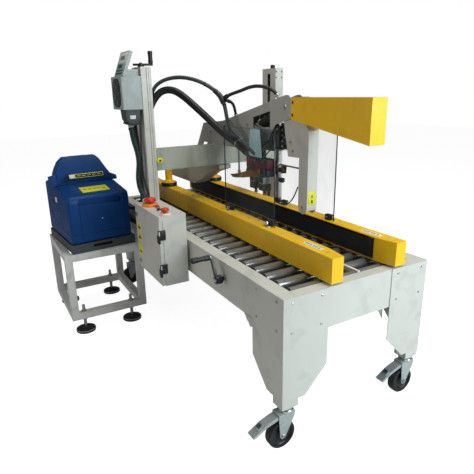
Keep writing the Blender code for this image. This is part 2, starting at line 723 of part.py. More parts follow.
def build_mast():
    """The upright between the plates, with the valve block, two knobs and the kicker's stop."""
    y = (0.392, 0.404)
    mast = box("mast_bar", (-0.621, y[0], 0.828), (-0.595, y[1], 1.235))
    middle_y = sum(y) / 2

    def pin(name, end_x, z, radius):
        return rod(name, (-0.600, middle_y, z), (end_x, middle_y, z), radius, 12)

    join(
        mast,
        box("valve_block", (-0.652, 0.381, 1.082), (-0.574, 0.431, 1.188)),
        box("mast_clamp", (-0.624, PLATE_NEAR[1] + GAP, 1.200), (-0.592, PLATE_FAR[0] - GAP, 1.230)),
        pin("mast_knob_high", -0.576, 0.986, 0.009), pin("mast_knob_low", -0.573, 0.938, 0.009),
        pin("kicker_stop", -0.428, 1.010, 0.004),
    )
    finish(mast, "fold_mast", "steel")


def build_glue_head():
    """The heated manifold with two glue valves, their nozzles, the hose sockets and a flap."""
    head = box("manifold", (-0.800, 0.340, 0.945), (-0.640, 0.400, 1.030))
    pieces = [
        box("manifold_post", (-0.740, PLATE_NEAR[1] + GAP, 1.020), (-0.702, 0.392, 1.165)),
        box("flap_strap", (-0.730, 0.3355, 1.000), (-0.705, 0.345, 1.165)),
        box("splash_flap", (-0.765, 0.335, 1.040), (-0.655, 0.338, 1.170)),
        socket("melt_socket", MELT_HOSE, True, 0.045, 0.0205),
        socket("air_socket", AIR_HOSE, True, 0.080, 0.0125),
    ]
    for n, x in enumerate((-0.760, -0.680)):
        pieces.append(box(f"valve_{n}", (x - 0.022, 0.347, 0.876), (x + 0.022, 0.393, 0.950)))
        pieces.append(rod(f"nozzle_{n}", (x, 0.370, 0.852), (x, 0.370, 0.880), 0.007, 12))
    join(head, *pieces)
    finish(head, "glue_head", "dark_plastic")


PLOUGH_STATIONS = [
    # along the bed, outward from the centre plane at the top edge, height of the top edge
    (-0.660, 0.080, 0.990), (-0.730, 0.077, 0.975), (-0.800, 0.072, 0.957), (-0.860, 0.061, 0.942),
    (-0.930, 0.043, 0.926), (-1.000, 0.028, 0.910), (-1.050, 0.022, 0.902),
]


def build_plough(name, side):
    """A bent blade that leads a long flap inwards and down, hung from a round strut."""
    rows = []
    for x, outward, z in PLOUGH_STATIONS:
        lean = (x - PLOUGH_STATIONS[0][0]) / (PLOUGH_STATIONS[-1][0] - PLOUGH_STATIONS[0][0])
        inward = 0.004 + 0.012 * lean
        drop = 0.040 - 0.022 * lean
        rows.append(((x, CENTRE_Y + side * outward, z), (x, CENTRE_Y + side * (outward - inward), z - drop)))
    vertices = [point for row in rows for point in row]
    faces = [(2 * n, 2 * n + 1, 2 * n + 3, 2 * n + 2) for n in range(len(rows) - 1)]
    mesh = bpy.data.meshes.new(name)
    mesh.from_pydata(vertices, [], faces)
    blade = new_object(f"{name}_blade", mesh)
    skin = blade.modifiers.new("Sheet", "SOLIDIFY")
    skin.thickness = SHEET
    skin.offset = 0.0
    x, y = -0.945, CENTRE_Y + side * 0.026
    join(blade, rod(f"{name}_strut", (x, y, 0.899), (x, y, 1.130), 0.0045, 12))
    finish(blade, name, "copper_plate")


# ---------------------------------------------------------------- side-belt rails

def rail_points(points, far):
    return mirrored(points, CENTRE_Y) if far else points


def rail_y(first, second, far):
    """A pair of y values, mirrored about the centre plane for the far rail."""
    if far:
        first, second = 2 * CENTRE_Y - first, 2 * CENTRE_Y - second
    return span(first, second)


def build_rail(name, far):
    """The yellow cover over a belt, its nose, and the two legs that reach the width shafts."""
    z0, z1 = RAIL_Z
    cover = [
        (RAIL_END, RAIL_OUTER_Y), (0.0, RAIL_OUTER_Y), (0.0, RAIL_TIP_Y),
        (NOSE_START, RAIL_INNER_Y), (RAIL_END, RAIL_INNER_Y),
    ]
    wall = RAIL_WALL
    belt_pocket = rectangle((RAIL_END + 0.010, -0.1045), (RAIL_OUTER_Y + wall, RAIL_INNER_Y + 0.02))
    nose_pocket = [
        (-0.1005, RAIL_OUTER_Y + wall), (-wall, RAIL_OUTER_Y + wall), (-wall, RAIL_TIP_Y - wall),
        (NOSE_START, RAIL_INNER_Y - wall), (-0.1005, RAIL_INNER_Y - wall),
    ]
    rail = plate(f"{name}_cover", rail_points(cover, far), z0, z1, "z")
    cut(
        rail,
        plate(f"{name}_belt_pocket", rail_points(belt_pocket, far), z0 + 0.005, z1 - wall, "z"),
        plate(f"{name}_nose_pocket", rail_points(nose_pocket, far), z0 - 0.02, z1 - wall, "z"),
    )
    leg_y = rail_y(0.235, 0.265, far)
    for n, x in enumerate(CARRIAGE_X):
        join(
            rail,
            box(f"{name}_leg_{n}", (x - 0.005, leg_y[0], 0.590), (x + 0.005, leg_y[1], z0 + 0.003)),
            box(f"{name}_nut_{n}", (x - 0.024, leg_y[0], 0.556), (x + 0.024, leg_y[1], 0.600)),
        )
        cut(rail, rod(f"{name}_bore_{n}", (x, leg_y[0] - 0.02, SHAFT_Z), (x, leg_y[1] + 0.02, SHAFT_Z),
                      SHAFT_RADIUS + 0.0015, 12))
    post_y = sum(rail_y(0.240, 0.240, far)) / 2
    join(
        rail, rod(f"{name}_motor_foot", (-1.620, post_y, z1 - 0.002), (-1.620, post_y, 0.788), 0.046, 20),
        rod(f"{name}_motor", (-1.620, post_y, 0.780), (-1.620, post_y, 0.905), 0.023, 16),
    )
    finish(rail, name, "yellow_paint", (0.0, sum(leg_y) / 2, SHAFT_Z))


def build_belt(name, far):
    """A flat belt loop round the two pulleys."""
    x0, x1 = PULLEY_X
    middle = sum(BELT_Y) / 2
    radius = (BELT_Y[1] - BELT_Y[0]) / 2

    def racetrack(r):
        return arc((x1, middle), r, -90, 90, 8) + arc((x0, middle), r, 90, 270, 8)

    loop = plate(
        f"{name}_loop", rail_points(racetrack(radius), far), *BELT_Z, "z",
        [rail_points(racetrack(radius - BELT_THICKNESS), far)],
    )
    finish(loop, name, "black_rubber")


def build_pulley(name, x, far):
    """A belt pulley with a journal at each end."""
    z0, z1 = BELT_Z[0] + 0.002, BELT_Z[1] - 0.002
    radius = (BELT_Y[1] - BELT_Y[0]) / 2 - BELT_THICKNESS - 0.0008
    low, high = RAIL_Z[0] + 0.005 + GAP, RAIL_Z[1] - RAIL_WALL - GAP
    profile = [
        (0.0, high), (0.006, high), (0.006, z1), (radius, z1), (radius, z0), (0.006, z0),
        (0.006, low), (0.0, low),
    ]
    pulley = turned(f"{name}_turned", profile, 20)
    pulley.location = (x, rail_y(sum(BELT_Y) / 2, sum(BELT_Y) / 2, far)[0], 0.0)
    finish(pulley, name, "steel", round_piece=True)


def build_guard(name, x_range, far):
    """A clear side guard that stands on a rail."""
    y = rail_y(0.260, 0.265, far)
    guard = box(f"{name}_sheet", (x_range[0], y[0], RAIL_Z[1] + GAP), (x_range[1], y[1], 1.180))
    finish(guard, name, "clear_sheet")


def build_width_drive():
    """The left-and-right-hand screw that moves both rails, with its crank and loose grip."""
    x, z = CARRIAGE_X[1], SHAFT_Z
    elbow = (-0.478, 0.668)
    screw = rod("width_screw", (x, -0.030, z), (x, BED_WIDTH + 0.006, z), SHAFT_RADIUS, 12)
    hub = rod("width_hub", (x, -0.040, z), (x, -0.012, z), 0.018, 16)
    along = Vector((elbow[0] - x, elbow[1] - z)).normalized()
    side = Vector((-along.y, along.x)) * 0.008
    start, end = Vector((x, z)), Vector(elbow) + along * 0.008
    bar = [tuple(start + side), tuple(start - side), tuple(end - side), tuple(end + side)]
    arm = plate("width_arm", bar, -0.040, -0.030, "y")
    post = rod("width_post", (elbow[0], -0.035, elbow[1]), (elbow[0], -0.128, elbow[1]), 0.005, 12)
    join(screw, hub, arm, post)
    finish(screw, "width_crank", "steel", (x, -0.030, z))

    grip = turned(
        "width_grip",
        [(0.0055, 0.044), (0.008, 0.044), (0.0115, 0.038), (0.0105, 0.0), (0.0125, -0.036),
         (0.009, -0.044), (0.0055, -0.044)],
        16, closed=True,
    )
    grip.location = (elbow[0], -0.0850, elbow[1])
    grip.rotation_euler = (math.radians(90), 0.0, 0.0)
    finish(grip, "width_crank_grip", "black_rubber", round_piece=True)


# ---------------------------------------------------------------- electrical cabinet

BUTTONS = {
    # place on the cabinet's top, cap radius, stem radius, cap's underside, cap's top, collar
    "estop_main": ((-1.030, -0.100), 0.030, 0.0110, 0.812, 0.834, (0.033, 0.802), "red_plastic"),
    "estop_small": ((-0.815, -0.104), 0.020, 0.0080, 0.808, 0.825, (0.022, 0.799), "red_plastic"),
    "reset_button": ((-0.970, -0.084), 0.010, 0.0060, 0.7965, 0.804, (0.013, 0.7925), "red_plastic"),
    "start_button": ((-0.905, -0.101), 0.009, 0.0055, 0.7965, 0.803, (0.012, 0.7925), "dark_plastic"),
}


def build_cabinet():
    """An open-fronted cabinet with a lip over its door, collars for the buttons and a gland."""
    x0, x1 = CABINET_X
    z0, z1 = CABINET_Z
    body = box("cabinet_shell", (x0, -0.129, z0), (x1, CABINET_Y[1], z1))
    join(
        body, box("cabinet_lip", (x0, CABINET_Y[0], z1 - 0.020), (x1, -0.127, z1)),
        box("cabinet_bracket_high", (-1.080, -0.011, 0.585), (-0.850, SHEET, 0.615)),
        box("cabinet_bracket_low", (-1.080, -0.011, 0.500), (-0.850, SHEET, 0.530)),
        socket("loom_gland", LOOM, True, 0.022, 0.016),
    )
    for n, low in enumerate((0.5305, 0.7005)):
        join(
            body, box(f"hinge_leaf_{n}", (x1 - 0.001, -0.1505, low), (x1 + 0.004, -0.118, low + 0.020)),
            rod(f"hinge_knuckle_{n}", (DOOR_AXIS[0], DOOR_AXIS[1], low),
                (DOOR_AXIS[0], DOOR_AXIS[1], low + 0.020), 0.0055, 12),
        )
    for name, (place, _, stem, _, _, (collar, top), _) in BUTTONS.items():
        join(body, rod(f"{name}_collar", (*place, z1 - 0.002), (*place, top), collar, 20))
    cut(body, box("cabinet_hollow", (x0 + 0.004, -0.20, z0 + 0.006), (x1 - 0.004, -0.014, z1 - 0.024)))
    for name, (place, _, stem, _, _, _, _) in BUTTONS.items():
        cut(body, rod(f"{name}_hole", (*place, z1 - 0.05), (*place, z1 + 0.05), stem + 0.0008, 16))
    finish(body, "cabinet_body", "beige_paint")

    door = box("door_slab", (x0, CABINET_Y[0], z0 + 0.003), (-0.7925, -0.1293, z1 - 0.020 - GAP))
    for n, low in enumerate((0.4900, 0.6600)):
        join(
            door, box(f"door_leaf_{n}", (-0.812, -0.1525, low), (-0.789, -0.1460, low + 0.040)),
            rod(f"door_knuckle_{n}", (DOOR_AXIS[0], DOOR_AXIS[1], low),
                (DOOR_AXIS[0], DOOR_AXIS[1], low + 0.040), 0.0055, 12),
        )
    cut(door, box("door_hollow", (x0 + 0.003, -0.1440, z0 + 0.006), (-0.7955, -0.110, z1 - 0.0233)))
    finish(door, "cabinet_door", "beige_paint", DOOR_AXIS)


def build_buttons():
    """Each button's cap on its stem, which slides in the cabinet's top."""
    for name, (place, cap, stem, low, high, _, material) in BUTTONS.items():
        edge = min(0.004, (high - low) / 3)
        profile = [
            (0.0, high), (cap - edge, high), (cap, high - edge), (cap, low), (stem, low),
            (stem, CABINET_Z[1] - 0.030), (0.0, CABINET_Z[1] - 0.030),
        ]
        button = turned(f"{name}_turned", profile, 20)
        button.location = (*place, 0.0)
        finish(button, name, material, round_piece=True)


# ---------------------------------------------------------------- operator controls

def build_controls():
    """The keypad box on the operator's column, with its connector block, and the tilted panel."""
    back = COLUMN_Y[0] - GAP
    keypad = box("keypad_box", (-1.316, -0.161, 1.263), (-1.143, back, 1.4225))
    block = [(-0.150, 1.265), (-0.145, 1.215), (-0.128, 1.187), (-0.092, 1.187), (-0.078, 1.215), (-0.074, 1.265)]
    join(
        keypad, plate("connector_block", block, -1.240, -1.152, "x"),
        socket("connector_gland", LOOM, False, 0.020, 0.015),
    )
    finish(keypad, "control_box", "grey_paint")

    slab = [(-0.158, 1.4228), (-0.142, 1.4228), (-0.098, 1.533), (-0.114, 1.539)]
    panel = plate("panel_slab", slab, -1.267, -1.123, "x")
    join(panel, box("panel_bracket", (-1.255, -0.148, 1.4228), (-1.160, back, 1.455)))
    finish(panel, "display_panel", "beige_paint")


# ---------------------------------------------------------------- glue unit

def build_stand():
    """A welded stand of square tube on four threaded feet."""
    (x0, x1), (y0, y1), (z0, z1) = STAND_X, STAND_Y, STAND_Z
    ring = [rectangle((x0 + TUBE, x1 - TUBE), (y0 + TUBE, y1 - TUBE))]
    outside = rectangle((x0, x1), (y0, y1))
    frame = plate("stand_top", outside, z1 - TUBE, z1, "z", ring)
    join(frame, plate("stand_bottom", outside, z0, z0 + TUBE, "z", ring))
    for n, x in enumerate((x0, x1 - TUBE)):
        for m, y in enumerate((y0, y1 - TUBE)):
            join(frame, box(f"stand_post_{n}{m}", (x, y, z0 + 0.010), (x + TUBE, y + TUBE, z1 - 0.010)))
    for n, x in enumerate((x0 + TUBE / 2, x1 - TUBE / 2)):
        for m, y in enumerate((-0.430, -0.152)):
            join(
                frame, rod(f"foot_stud_{n}{m}", (x, y, FLOOR + 0.008), (x, y, 0.175), 0.008, 12),
                rod(f"foot_pad_{n}{m}", (x, y, FLOOR), (x, y, FLOOR + 0.014), 0.055, 20),
            )
    finish(frame, "stand_frame", "beige_paint")


def build_tank():
    """The hot-melt unit: a slotted base, the moulded housing and the hinged hood."""
    (x0, x1), (y0, y1) = TANK_X, TANK_Y
    carrier = bpy.data.objects.new("tank_turn", None)
    SCENE["parts"].objects.link(carrier)
    carrier.parent = SCENE["layout"]
    about = Vector((*TANK_TURN_ABOUT, 0.0))
    carrier.location = about - Matrix.Rotation(TANK_TURN, 3, "Z") @ about
    carrier.rotation_euler = (0.0, 0.0, TANK_TURN)
    SCENE["carrier"] = carrier

    base_z = (STAND_Z[1] + GAP, 0.540)
    base = box("tank_base_block", (x0, y0 - 0.004, base_z[0]), (x1 + 0.006, y1 + 0.014, base_z[1]))
    cut(base, box("tank_base_slot", (x1 - 0.015, -0.335, 0.512), (x1 + 0.05, -0.225, 0.530)))
    finish(base, "tank_base", "dark_plastic")

    side = [
        (x0, base_z[1] + GAP), (x1, base_z[1] + GAP), (x1 + 0.002, 0.784), (x1 - 0.012, 0.810),
        (-1.590, 0.843), (x0 + 0.004, 0.843),
    ]
    housing = plate("tank_side_view", side, y0, y1, "y")
    rounded = housing.modifiers.new("Edges", "BEVEL")
    rounded.width = 0.012
    rounded.segments = 2
    handle = [
        (-0.392, 0.757), (-0.155, 0.753), (-0.150, 0.773), (-0.165, 0.789), (-0.380, 0.794),
        (-0.396, 0.777),
    ]
    cut(housing, plate("tank_handle", handle, x1 - 0.016, x1 + 0.05, "x"))

    crown = [
        (-0.118, 0.884), (-0.132, 0.906), (-0.166, 0.972), (-0.185, 0.992), (-0.372, 0.992),
        (-0.402, 0.966), (-0.424, 0.925), (-0.433, 0.902),
    ]
    ears = [(-0.473, 0.8435), (-0.083, 0.8435), (-0.083, 0.868), (-0.118, 0.884), (-0.433, 0.902), (-0.473, 0.894)]
    hood = plate("tank_lid_ears", ears, -1.640, -1.592, "x")
    join(hood, plate("tank_lid_crown", [(-0.440, 0.8435), (-0.104, 0.8435), *crown], -1.700, -1.592, "x"))
    rear = [
        (-0.390, 0.8435), (-0.110, 0.8435), (-0.122, 0.890), (-0.166, 0.958), (-0.190, 0.976),
        (-0.300, 0.976), (-0.340, 0.958), (-0.380, 0.905),
    ]
    join(hood, plate("tank_lid_rear", rear, x0 + 0.004, -1.690, "x"))
    slope = [(-1.592, 0.850), (-1.560, 0.850), (-1.560, 1.020), (-1.662, 1.020)]
    cut(hood, plate("tank_lid_slope", slope, -0.60, 0.05, "y"))
    finish(hood, "tank_lid", "blue_plastic", LID_HINGE)

    SCENE["carrier"] = SCENE["layout"]
    join(
        housing,
        socket("melt_elbow", MELT_HOSE, False, 0.055, 0.022),
        socket("air_elbow", AIR_HOSE, False, 0.045, 0.014),
    )
    finish(housing, "tank_housing", "blue_plastic")


# ---------------------------------------------------------------- hoses

def build_hoses():
    for name, route, diameter in (
        ("melt_hose", MELT_HOSE, MELT_HOSE_DIAMETER),
        ("air_hose", AIR_HOSE, AIR_HOSE_DIAMETER),
        ("valve_line", VALVE_LINE, VALVE_LINE_DIAMETER),
        ("sensor_line", SENSOR_LINE, SENSOR_LINE_DIAMETER),
        ("control_loom", LOOM, LOOM_DIAMETER),
    ):
        finish(tube(f"{name}_route", route, diameter), name, "black_rubber")


# ---------------------------------------------------------------- the machine

clear_scene()
SCENE = {
    "parts": make_collection(PARTS),
    "cutters": make_collection(CUTTERS),
    "materials": make_materials(),
    "layout": bpy.data.objects.new("layout", None),
}
SCENE["carrier"] = SCENE["layout"]
SCENE["parts"].objects.link(SCENE["layout"])
SCENE["layout"].location = LAYOUT_SHIFT

build_bed()
build_rollers()
for corner_name in CORNERS:
    build_leg(corner_name)
    build_caster(corner_name, corner_name.startswith("infeed"))
build_column("column_near", False)
build_column("column_far", True)
build_lift_drive()
build_beam()
build_head_plates()
build_boom()
build_press_shoe()
build_kicker()
build_mast()
build_glue_head()
build_plough("plough_near", -1)
build_plough("plough_far", 1)
for side_name, is_far in (("near", False), ("far", True)):
    build_rail(f"rail_{side_name}", is_far)
    build_belt(f"belt_{side_name}", is_far)
    build_pulley(f"drive_pulley_{side_name}", PULLEY_X[0], is_far)
    build_pulley(f"idler_pulley_{side_name}", PULLEY_X[1], is_far)
build_guard("guard_near", (-0.885, -0.440), False)
build_guard("guard_far", (-0.821, -0.376), True)
build_width_drive()
build_cabinet()
build_buttons()
build_controls()
build_stand()
build_tank()
build_hoses()
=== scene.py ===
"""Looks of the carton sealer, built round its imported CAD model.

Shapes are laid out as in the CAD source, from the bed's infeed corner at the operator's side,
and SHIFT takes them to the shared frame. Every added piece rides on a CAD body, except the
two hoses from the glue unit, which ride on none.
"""
import math

import bmesh
import bpy
import numpy as np
from mathutils import Matrix, Vector


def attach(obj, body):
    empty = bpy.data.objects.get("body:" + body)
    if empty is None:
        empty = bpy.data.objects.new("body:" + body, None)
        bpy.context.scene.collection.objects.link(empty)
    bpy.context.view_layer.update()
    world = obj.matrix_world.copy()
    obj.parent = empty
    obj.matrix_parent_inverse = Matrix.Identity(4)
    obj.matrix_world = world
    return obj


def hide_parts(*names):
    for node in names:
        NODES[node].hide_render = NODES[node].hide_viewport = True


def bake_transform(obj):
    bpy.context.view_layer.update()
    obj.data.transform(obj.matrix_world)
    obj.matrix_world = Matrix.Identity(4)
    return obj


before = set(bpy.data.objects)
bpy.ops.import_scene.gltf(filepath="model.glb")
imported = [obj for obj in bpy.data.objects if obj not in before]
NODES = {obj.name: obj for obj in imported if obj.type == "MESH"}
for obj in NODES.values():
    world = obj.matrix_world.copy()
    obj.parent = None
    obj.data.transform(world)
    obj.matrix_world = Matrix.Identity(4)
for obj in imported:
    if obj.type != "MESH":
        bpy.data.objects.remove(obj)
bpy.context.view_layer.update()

SHIFT = Vector((0.9725, -0.15025, -0.015))
BED_LENGTH, BED_WIDTH, BED_TOP = 1.945, 0.74, 0.65
FLOOR = 0.015
CENTRE_Y = 0.406

UP, DOWN = (0, 0, 1), (0, 0, -1)
NEAR, FAR = (0, -1, 0), (0, 1, 0)
INFEED, OUTFEED = (1, 0, 0), (-1, 0, 0)


# ---------------------------------------------------------------- camera, light and floor

CAMERA_PLACE = (2.1342, -0.99305, 1.3235)
CAMERA_YAW, CAMERA_PITCH, CAMERA_ROLL = math.radians(60.26), math.radians(17.07), -0.0183
CAMERA_LENS, SENSOR_WIDTH = 34.61, 36.0
CAMERA_SLIDE = (-0.0004, -0.0106)
FILL_STRENGTH, FLOOR_GLOW, FLOOR_HALF_SIZE = 0.13, 0.88, 14.0


def make_camera():
    """The camera looks at the machine from beyond its infeed end, on the operator's side."""
    yaw, pitch = CAMERA_YAW, CAMERA_PITCH
    ahead = Vector((-math.sin(yaw) * math.cos(pitch), math.cos(yaw) * math.cos(pitch), -math.sin(pitch)))
    level = Vector((math.cos(yaw), math.sin(yaw), 0.0))
    upright = level.cross(ahead)
    right = math.cos(CAMERA_ROLL) * level + math.sin(CAMERA_ROLL) * upright
    up = math.cos(CAMERA_ROLL) * upright - math.sin(CAMERA_ROLL) * level
    camera = bpy.data.objects.new("camera", bpy.data.cameras.new("camera"))
    camera.data.lens = CAMERA_LENS
    camera.data.sensor_width = SENSOR_WIDTH
    camera.data.shift_x, camera.data.shift_y = CAMERA_SLIDE
    turn = Matrix((right, up, -ahead)).transposed().to_4x4()
    camera.matrix_world = Matrix.Translation(CAMERA_PLACE) @ turn
    bpy.context.scene.collection.objects.link(camera)
    bpy.context.scene.camera = camera


def make_light(name, place, target, size, energy, colour):
    data = bpy.data.lights.new(name, "AREA")
    data.shape = "RECTANGLE"
    data.size, data.size_y = size
    data.energy = energy
    data.color = colour
    light = bpy.data.objects.new(name, data)
    aim = (Vector(target) - Vector(place)).to_track_quat("-Z", "Y").to_matrix().to_4x4()
    light.matrix_world = Matrix.Translation(place) @ aim
    bpy.context.scene.collection.objects.link(light)


def make_world():
    """White as a backdrop, and a much weaker white as the light that fills the shadows."""
    world = bpy.data.worlds.new("studio")
    bpy.context.scene.world = world
    world.use_nodes = True
    tree = world.node_tree
    filling = tree.nodes["Background"]
    filling.inputs["Color"].default_value = (0.96, 0.98, 1.0, 1.0)
    filling.inputs["Strength"].default_value = FILL_STRENGTH
    backdrop = tree.nodes.new("ShaderNodeBackground")
    backdrop.inputs["Color"].default_value = (1.0, 1.0, 1.0, 1.0)
    seen = tree.nodes.new("ShaderNodeLightPath")
    choice = tree.nodes.new("ShaderNodeMixShader")
    tree.links.new(seen.outputs["Is Camera Ray"], choice.inputs["Fac"])
    tree.links.new(filling.outputs["Background"], choice.inputs[1])
    tree.links.new(backdrop.outputs["Background"], choice.inputs[2])
    tree.links.new(choice.outputs["Shader"], tree.nodes["World Output"].inputs["Surface"])
    bpy.context.scene.view_settings.view_transform = "Standard"


def make_floor():
    shape = bmesh.new()
    bmesh.ops.create_grid(shape, x_segments=1, y_segments=1, size=FLOOR_HALF_SIZE)
    mesh = bpy.data.meshes.new("floor")
    shape.to_mesh(mesh)
    shape.free()
    floor = bpy.data.objects.new("floor", mesh)
    surface = Surface("floor", roughness=0.85)
    surface.set_colour(surface.mix(surface.noise(3.0, 2.0), grey(214), grey(224)))
    surface.shader.inputs["Emission Color"].default_value = (1.0, 1.0, 1.0, 1.0)
    seen = surface.node("ShaderNodeLightPath")
    glow = surface.work("MULTIPLY", seen.outputs["Is Camera Ray"], FLOOR_GLOW)
    surface.feed(surface.shader.inputs["Emission Strength"], glow)
    mesh.materials.append(surface.material)
    bpy.context.scene.collection.objects.link(floor)


def make_studio():
    """Cool daylight on the infeed end, a weaker warm fill on the operator's side, a pale floor."""
    make_light("key", (2.8, 1.0, 1.6), (0.8, 0.1, 0.5), (1.8, 1.5), 66.0, (0.84, 0.96, 1.0))
    make_light("overhead", (0.4, 0.3, 3.1), (0.3, 0.1, 0.8), (1.6, 1.4), 38.0, (1.0, 0.99, 0.92))
    make_light("fill", (-0.6, -3.4, 1.7), (-0.2, 0.0, 0.7), (2.4, 1.8), 24.0, (1.0, 0.98, 0.95))
    make_world()
    make_floor()


# ---------------------------------------------------------------- materials

def tint(red, green, blue):
    """A screen colour, 0 to 255, as linear light."""
    def linear(value):
        value /= 255
        return value / 12.92 if value <= 0.04045 else ((value + 0.055) / 1.055) ** 2.4

    return (linear(red), linear(green), linear(blue), 1.0)


def grey(value):
    return tint(value, value, value)


class Surface:
    """A Principled material whose colour, roughness and bump are worked out in object space."""

    def __init__(self, name, roughness=0.5, metallic=0.0, **constants):
        self.material = bpy.data.materials.new(name)
        self.material.use_nodes = True
        self.tree = self.material.node_tree
        self.shader = self.tree.nodes["Principled BSDF"]
        self.shader.inputs["Roughness"].default_value = roughness
        self.shader.inputs["Metallic"].default_value = metallic
        for socket, value in constants.items():
            self.shader.inputs[socket.replace("_", " ")].default_value = value
        self.place = self.node("ShaderNodeTexCoord").outputs["Object"]

    def node(self, kind, **settings):
        made = self.tree.nodes.new(kind)
        for setting, value in settings.items():
            setattr(made, setting, value)
        return made

    def feed(self, socket, value):
        if isinstance(value, bpy.types.NodeSocket):
            self.tree.links.new(value, socket)
        else:
            socket.default_value = value

    def stretched(self, scale):
        mapping = self.node("ShaderNodeMapping")
        self.feed(mapping.inputs["Vector"], self.place)
        mapping.inputs["Scale"].default_value = scale
        return mapping.outputs["Vector"]

    def noise(self, scale, detail=3.0, stretch=None, distortion=0.0):
        made = self.node("ShaderNodeTexNoise")
        self.feed(made.inputs["Vector"], self.stretched(stretch) if stretch else self.place)
        made.inputs["Scale"].default_value = scale
        made.inputs["Detail"].default_value = detail
        made.inputs["Distortion"].default_value = distortion
        return made.outputs["Fac"]

    def spread(self, value, low, high, to_low=0.0, to_high=1.0):
        made = self.node("ShaderNodeMapRange")
        self.feed(made.inputs["Value"], value)
        for socket, number in (
            ("From Min", low), ("From Max", high), ("To Min", to_low), ("To Max", to_high),
        ):
            made.inputs[socket].default_value = number
        return made.outputs["Result"]

    def work(self, operation, first, second):
        made = self.node("ShaderNodeMath", operation=operation)
        self.feed(made.inputs[0], first)
        self.feed(made.inputs[1], second)
        return made.outputs["Value"]

    def mix(self, factor, first, second):
        made = self.node("ShaderNodeMix", data_type="RGBA")
        self.feed(made.inputs["Factor"], factor)
        self.feed(made.inputs[6], first)
        self.feed(made.inputs[7], second)
        return made.outputs[2]

    def along(self, axis):
        made = self.node("ShaderNodeSeparateXYZ")
        self.feed(made.inputs["Vector"], self.place)
        return made.outputs[axis]

    def above(self, axis, level, blur=0.0004):
        """0 below a level along an axis and 1 above it."""
        return self.spread(self.along(axis), level - blur, level + blur)

    def edges(self, radius):
        """The rounded normal near edges, and how near an edge each point is, 0 to 1."""
        rounded = self.node("ShaderNodeBevel", samples=4)
        rounded.inputs["Radius"].default_value = radius
        flat = self.node("ShaderNodeNewGeometry")
        product = self.node("ShaderNodeVectorMath", operation="DOT_PRODUCT")
        self.feed(product.inputs[0], rounded.outputs["Normal"])
        self.feed(product.inputs[1], flat.outputs["Normal"])
        return rounded.outputs["Normal"], self.spread(product.outputs["Value"], 0.995, 0.86)

    def bump(self, height, strength, distance, normal=None):
        made = self.node("ShaderNodeBump")
        self.feed(made.inputs["Height"], height)
        made.inputs["Strength"].default_value = strength
        made.inputs["Distance"].default_value = distance
        if normal is not None:
            self.feed(made.inputs["Normal"], normal)
        self.feed(self.shader.inputs["Normal"], made.outputs["Normal"])

    def set_colour(self, value):
        self.feed(self.shader.inputs["Base Color"], value)

    def set_roughness(self, value):
        self.feed(self.shader.inputs["Roughness"], value)


def darker(colour, share):
    return tuple(channel * share for channel in colour[:3]) + (1.0,)


def paint(name, colour, roughness=0.42, worn=None, dust=grey(120), dirt=0.3, edge=0.0012):
    """Powder coat: orange-peel bump, a slow drift of tone, faint grime, and worn edges."""
    surface = Surface(name, IOR=1.5)
    drift = surface.spread(surface.noise(2.2, 3.0), 0.32, 0.68)
    tone = surface.mix(drift, darker(colour, 0.93), darker(colour, 1.04))
    grime = surface.spread(surface.noise(11.0, 7.0, distortion=0.6), 0.53, 0.8, 0.0, dirt)
    dirty = surface.mix(grime, tone, dust)
    normal, near_edge = surface.edges(edge)
    chips = surface.work("MULTIPLY", near_edge, surface.spread(surface.noise(60.0, 5.0), 0.46, 0.62))
    surface.set_colour(surface.mix(chips, dirty, worn or darker(colour, 0.62)))
    peel = surface.noise(420.0, 2.0)
    surface.set_roughness(
        surface.spread(surface.noise(26.0, 5.0), 0.3, 0.7, roughness - 0.07, roughness + 0.1)
    )
    surface.bump(peel, 0.1, 0.0006, normal)
    return surface


def metal(name, colour, roughness, brush=(1.0, 1.0, 1.0), stain=darker(grey(120), 0.6), scale=130.0):
    """Bright metal with fine drawn marks, hazy patches and a few dull stains."""
    surface = Surface(name, metallic=1.0)
    marks = surface.noise(scale, 5.0, stretch=brush)
    patches = surface.noise(17.0, 5.0)
    tone = surface.mix(surface.spread(marks, 0.35, 0.65), darker(colour, 0.86), colour)
    surface.set_colour(surface.mix(surface.spread(patches, 0.58, 0.82, 0.0, 0.55), tone, stain))
    surface.set_roughness(surface.spread(patches, 0.35, 0.75, roughness, roughness + 0.2))
    surface.bump(marks, 0.1, 0.0004)
    return surface


def plastic(name, colour, roughness=0.45, grain=520.0, scuff_and_highlight_colour=None, share=0.25, edge=0.0008):
    """Moulded plastic: a fine spark-eroded grain, uneven sheen, pale scuffs, and every edge lightened evenly,
    partly as edge wear and partly as a painted highlight.
    """
    surface = Surface(name, IOR=1.47)
    tone = surface.mix(
        surface.spread(surface.noise(6.0, 4.0), 0.3, 0.7), darker(colour, 0.86), darker(colour, 1.08),
    )
    scuffs = surface.spread(
        surface.noise(70.0, 6.0, stretch=(1.0, 0.35, 2.2), distortion=1.4), 0.64, 0.8, 0.0, share,
    )
    normal, near_edge = surface.edges(edge)
    # Every edge is lightened evenly towards the pale colour: partly edge wear, partly a painted edge
    # highlight.
    scuffs_and_edge_highlight = surface.work("MAXIMUM", scuffs, surface.work("MULTIPLY", near_edge, share))
    surface.set_colour(surface.mix(scuffs_and_edge_highlight, tone, scuff_and_highlight_colour or darker(colour, 1.9)))
    surface.set_roughness(
        surface.spread(surface.noise(34.0, 5.0), 0.3, 0.7, roughness - 0.08, roughness + 0.12)
    )
    surface.bump(surface.noise(grain, 2.0), 0.22, 0.0005, normal)
    return surface


def rubber(name, colour, roughness=0.62, dusty=0.35):
    """Black rubber with a dusty bloom."""
    surface = Surface(name, IOR=1.45)
    bloom = surface.spread(surface.noise(22.0, 7.0, distortion=0.5), 0.48, 0.78, 0.0, dusty)
    surface.set_colour(surface.mix(bloom, colour, grey(86)))
    surface.set_roughness(surface.spread(bloom, 0.0, 0.35, roughness - 0.08, roughness + 0.16))
    surface.bump(surface.noise(300.0, 4.0), 0.25, 0.0005)
    return surface


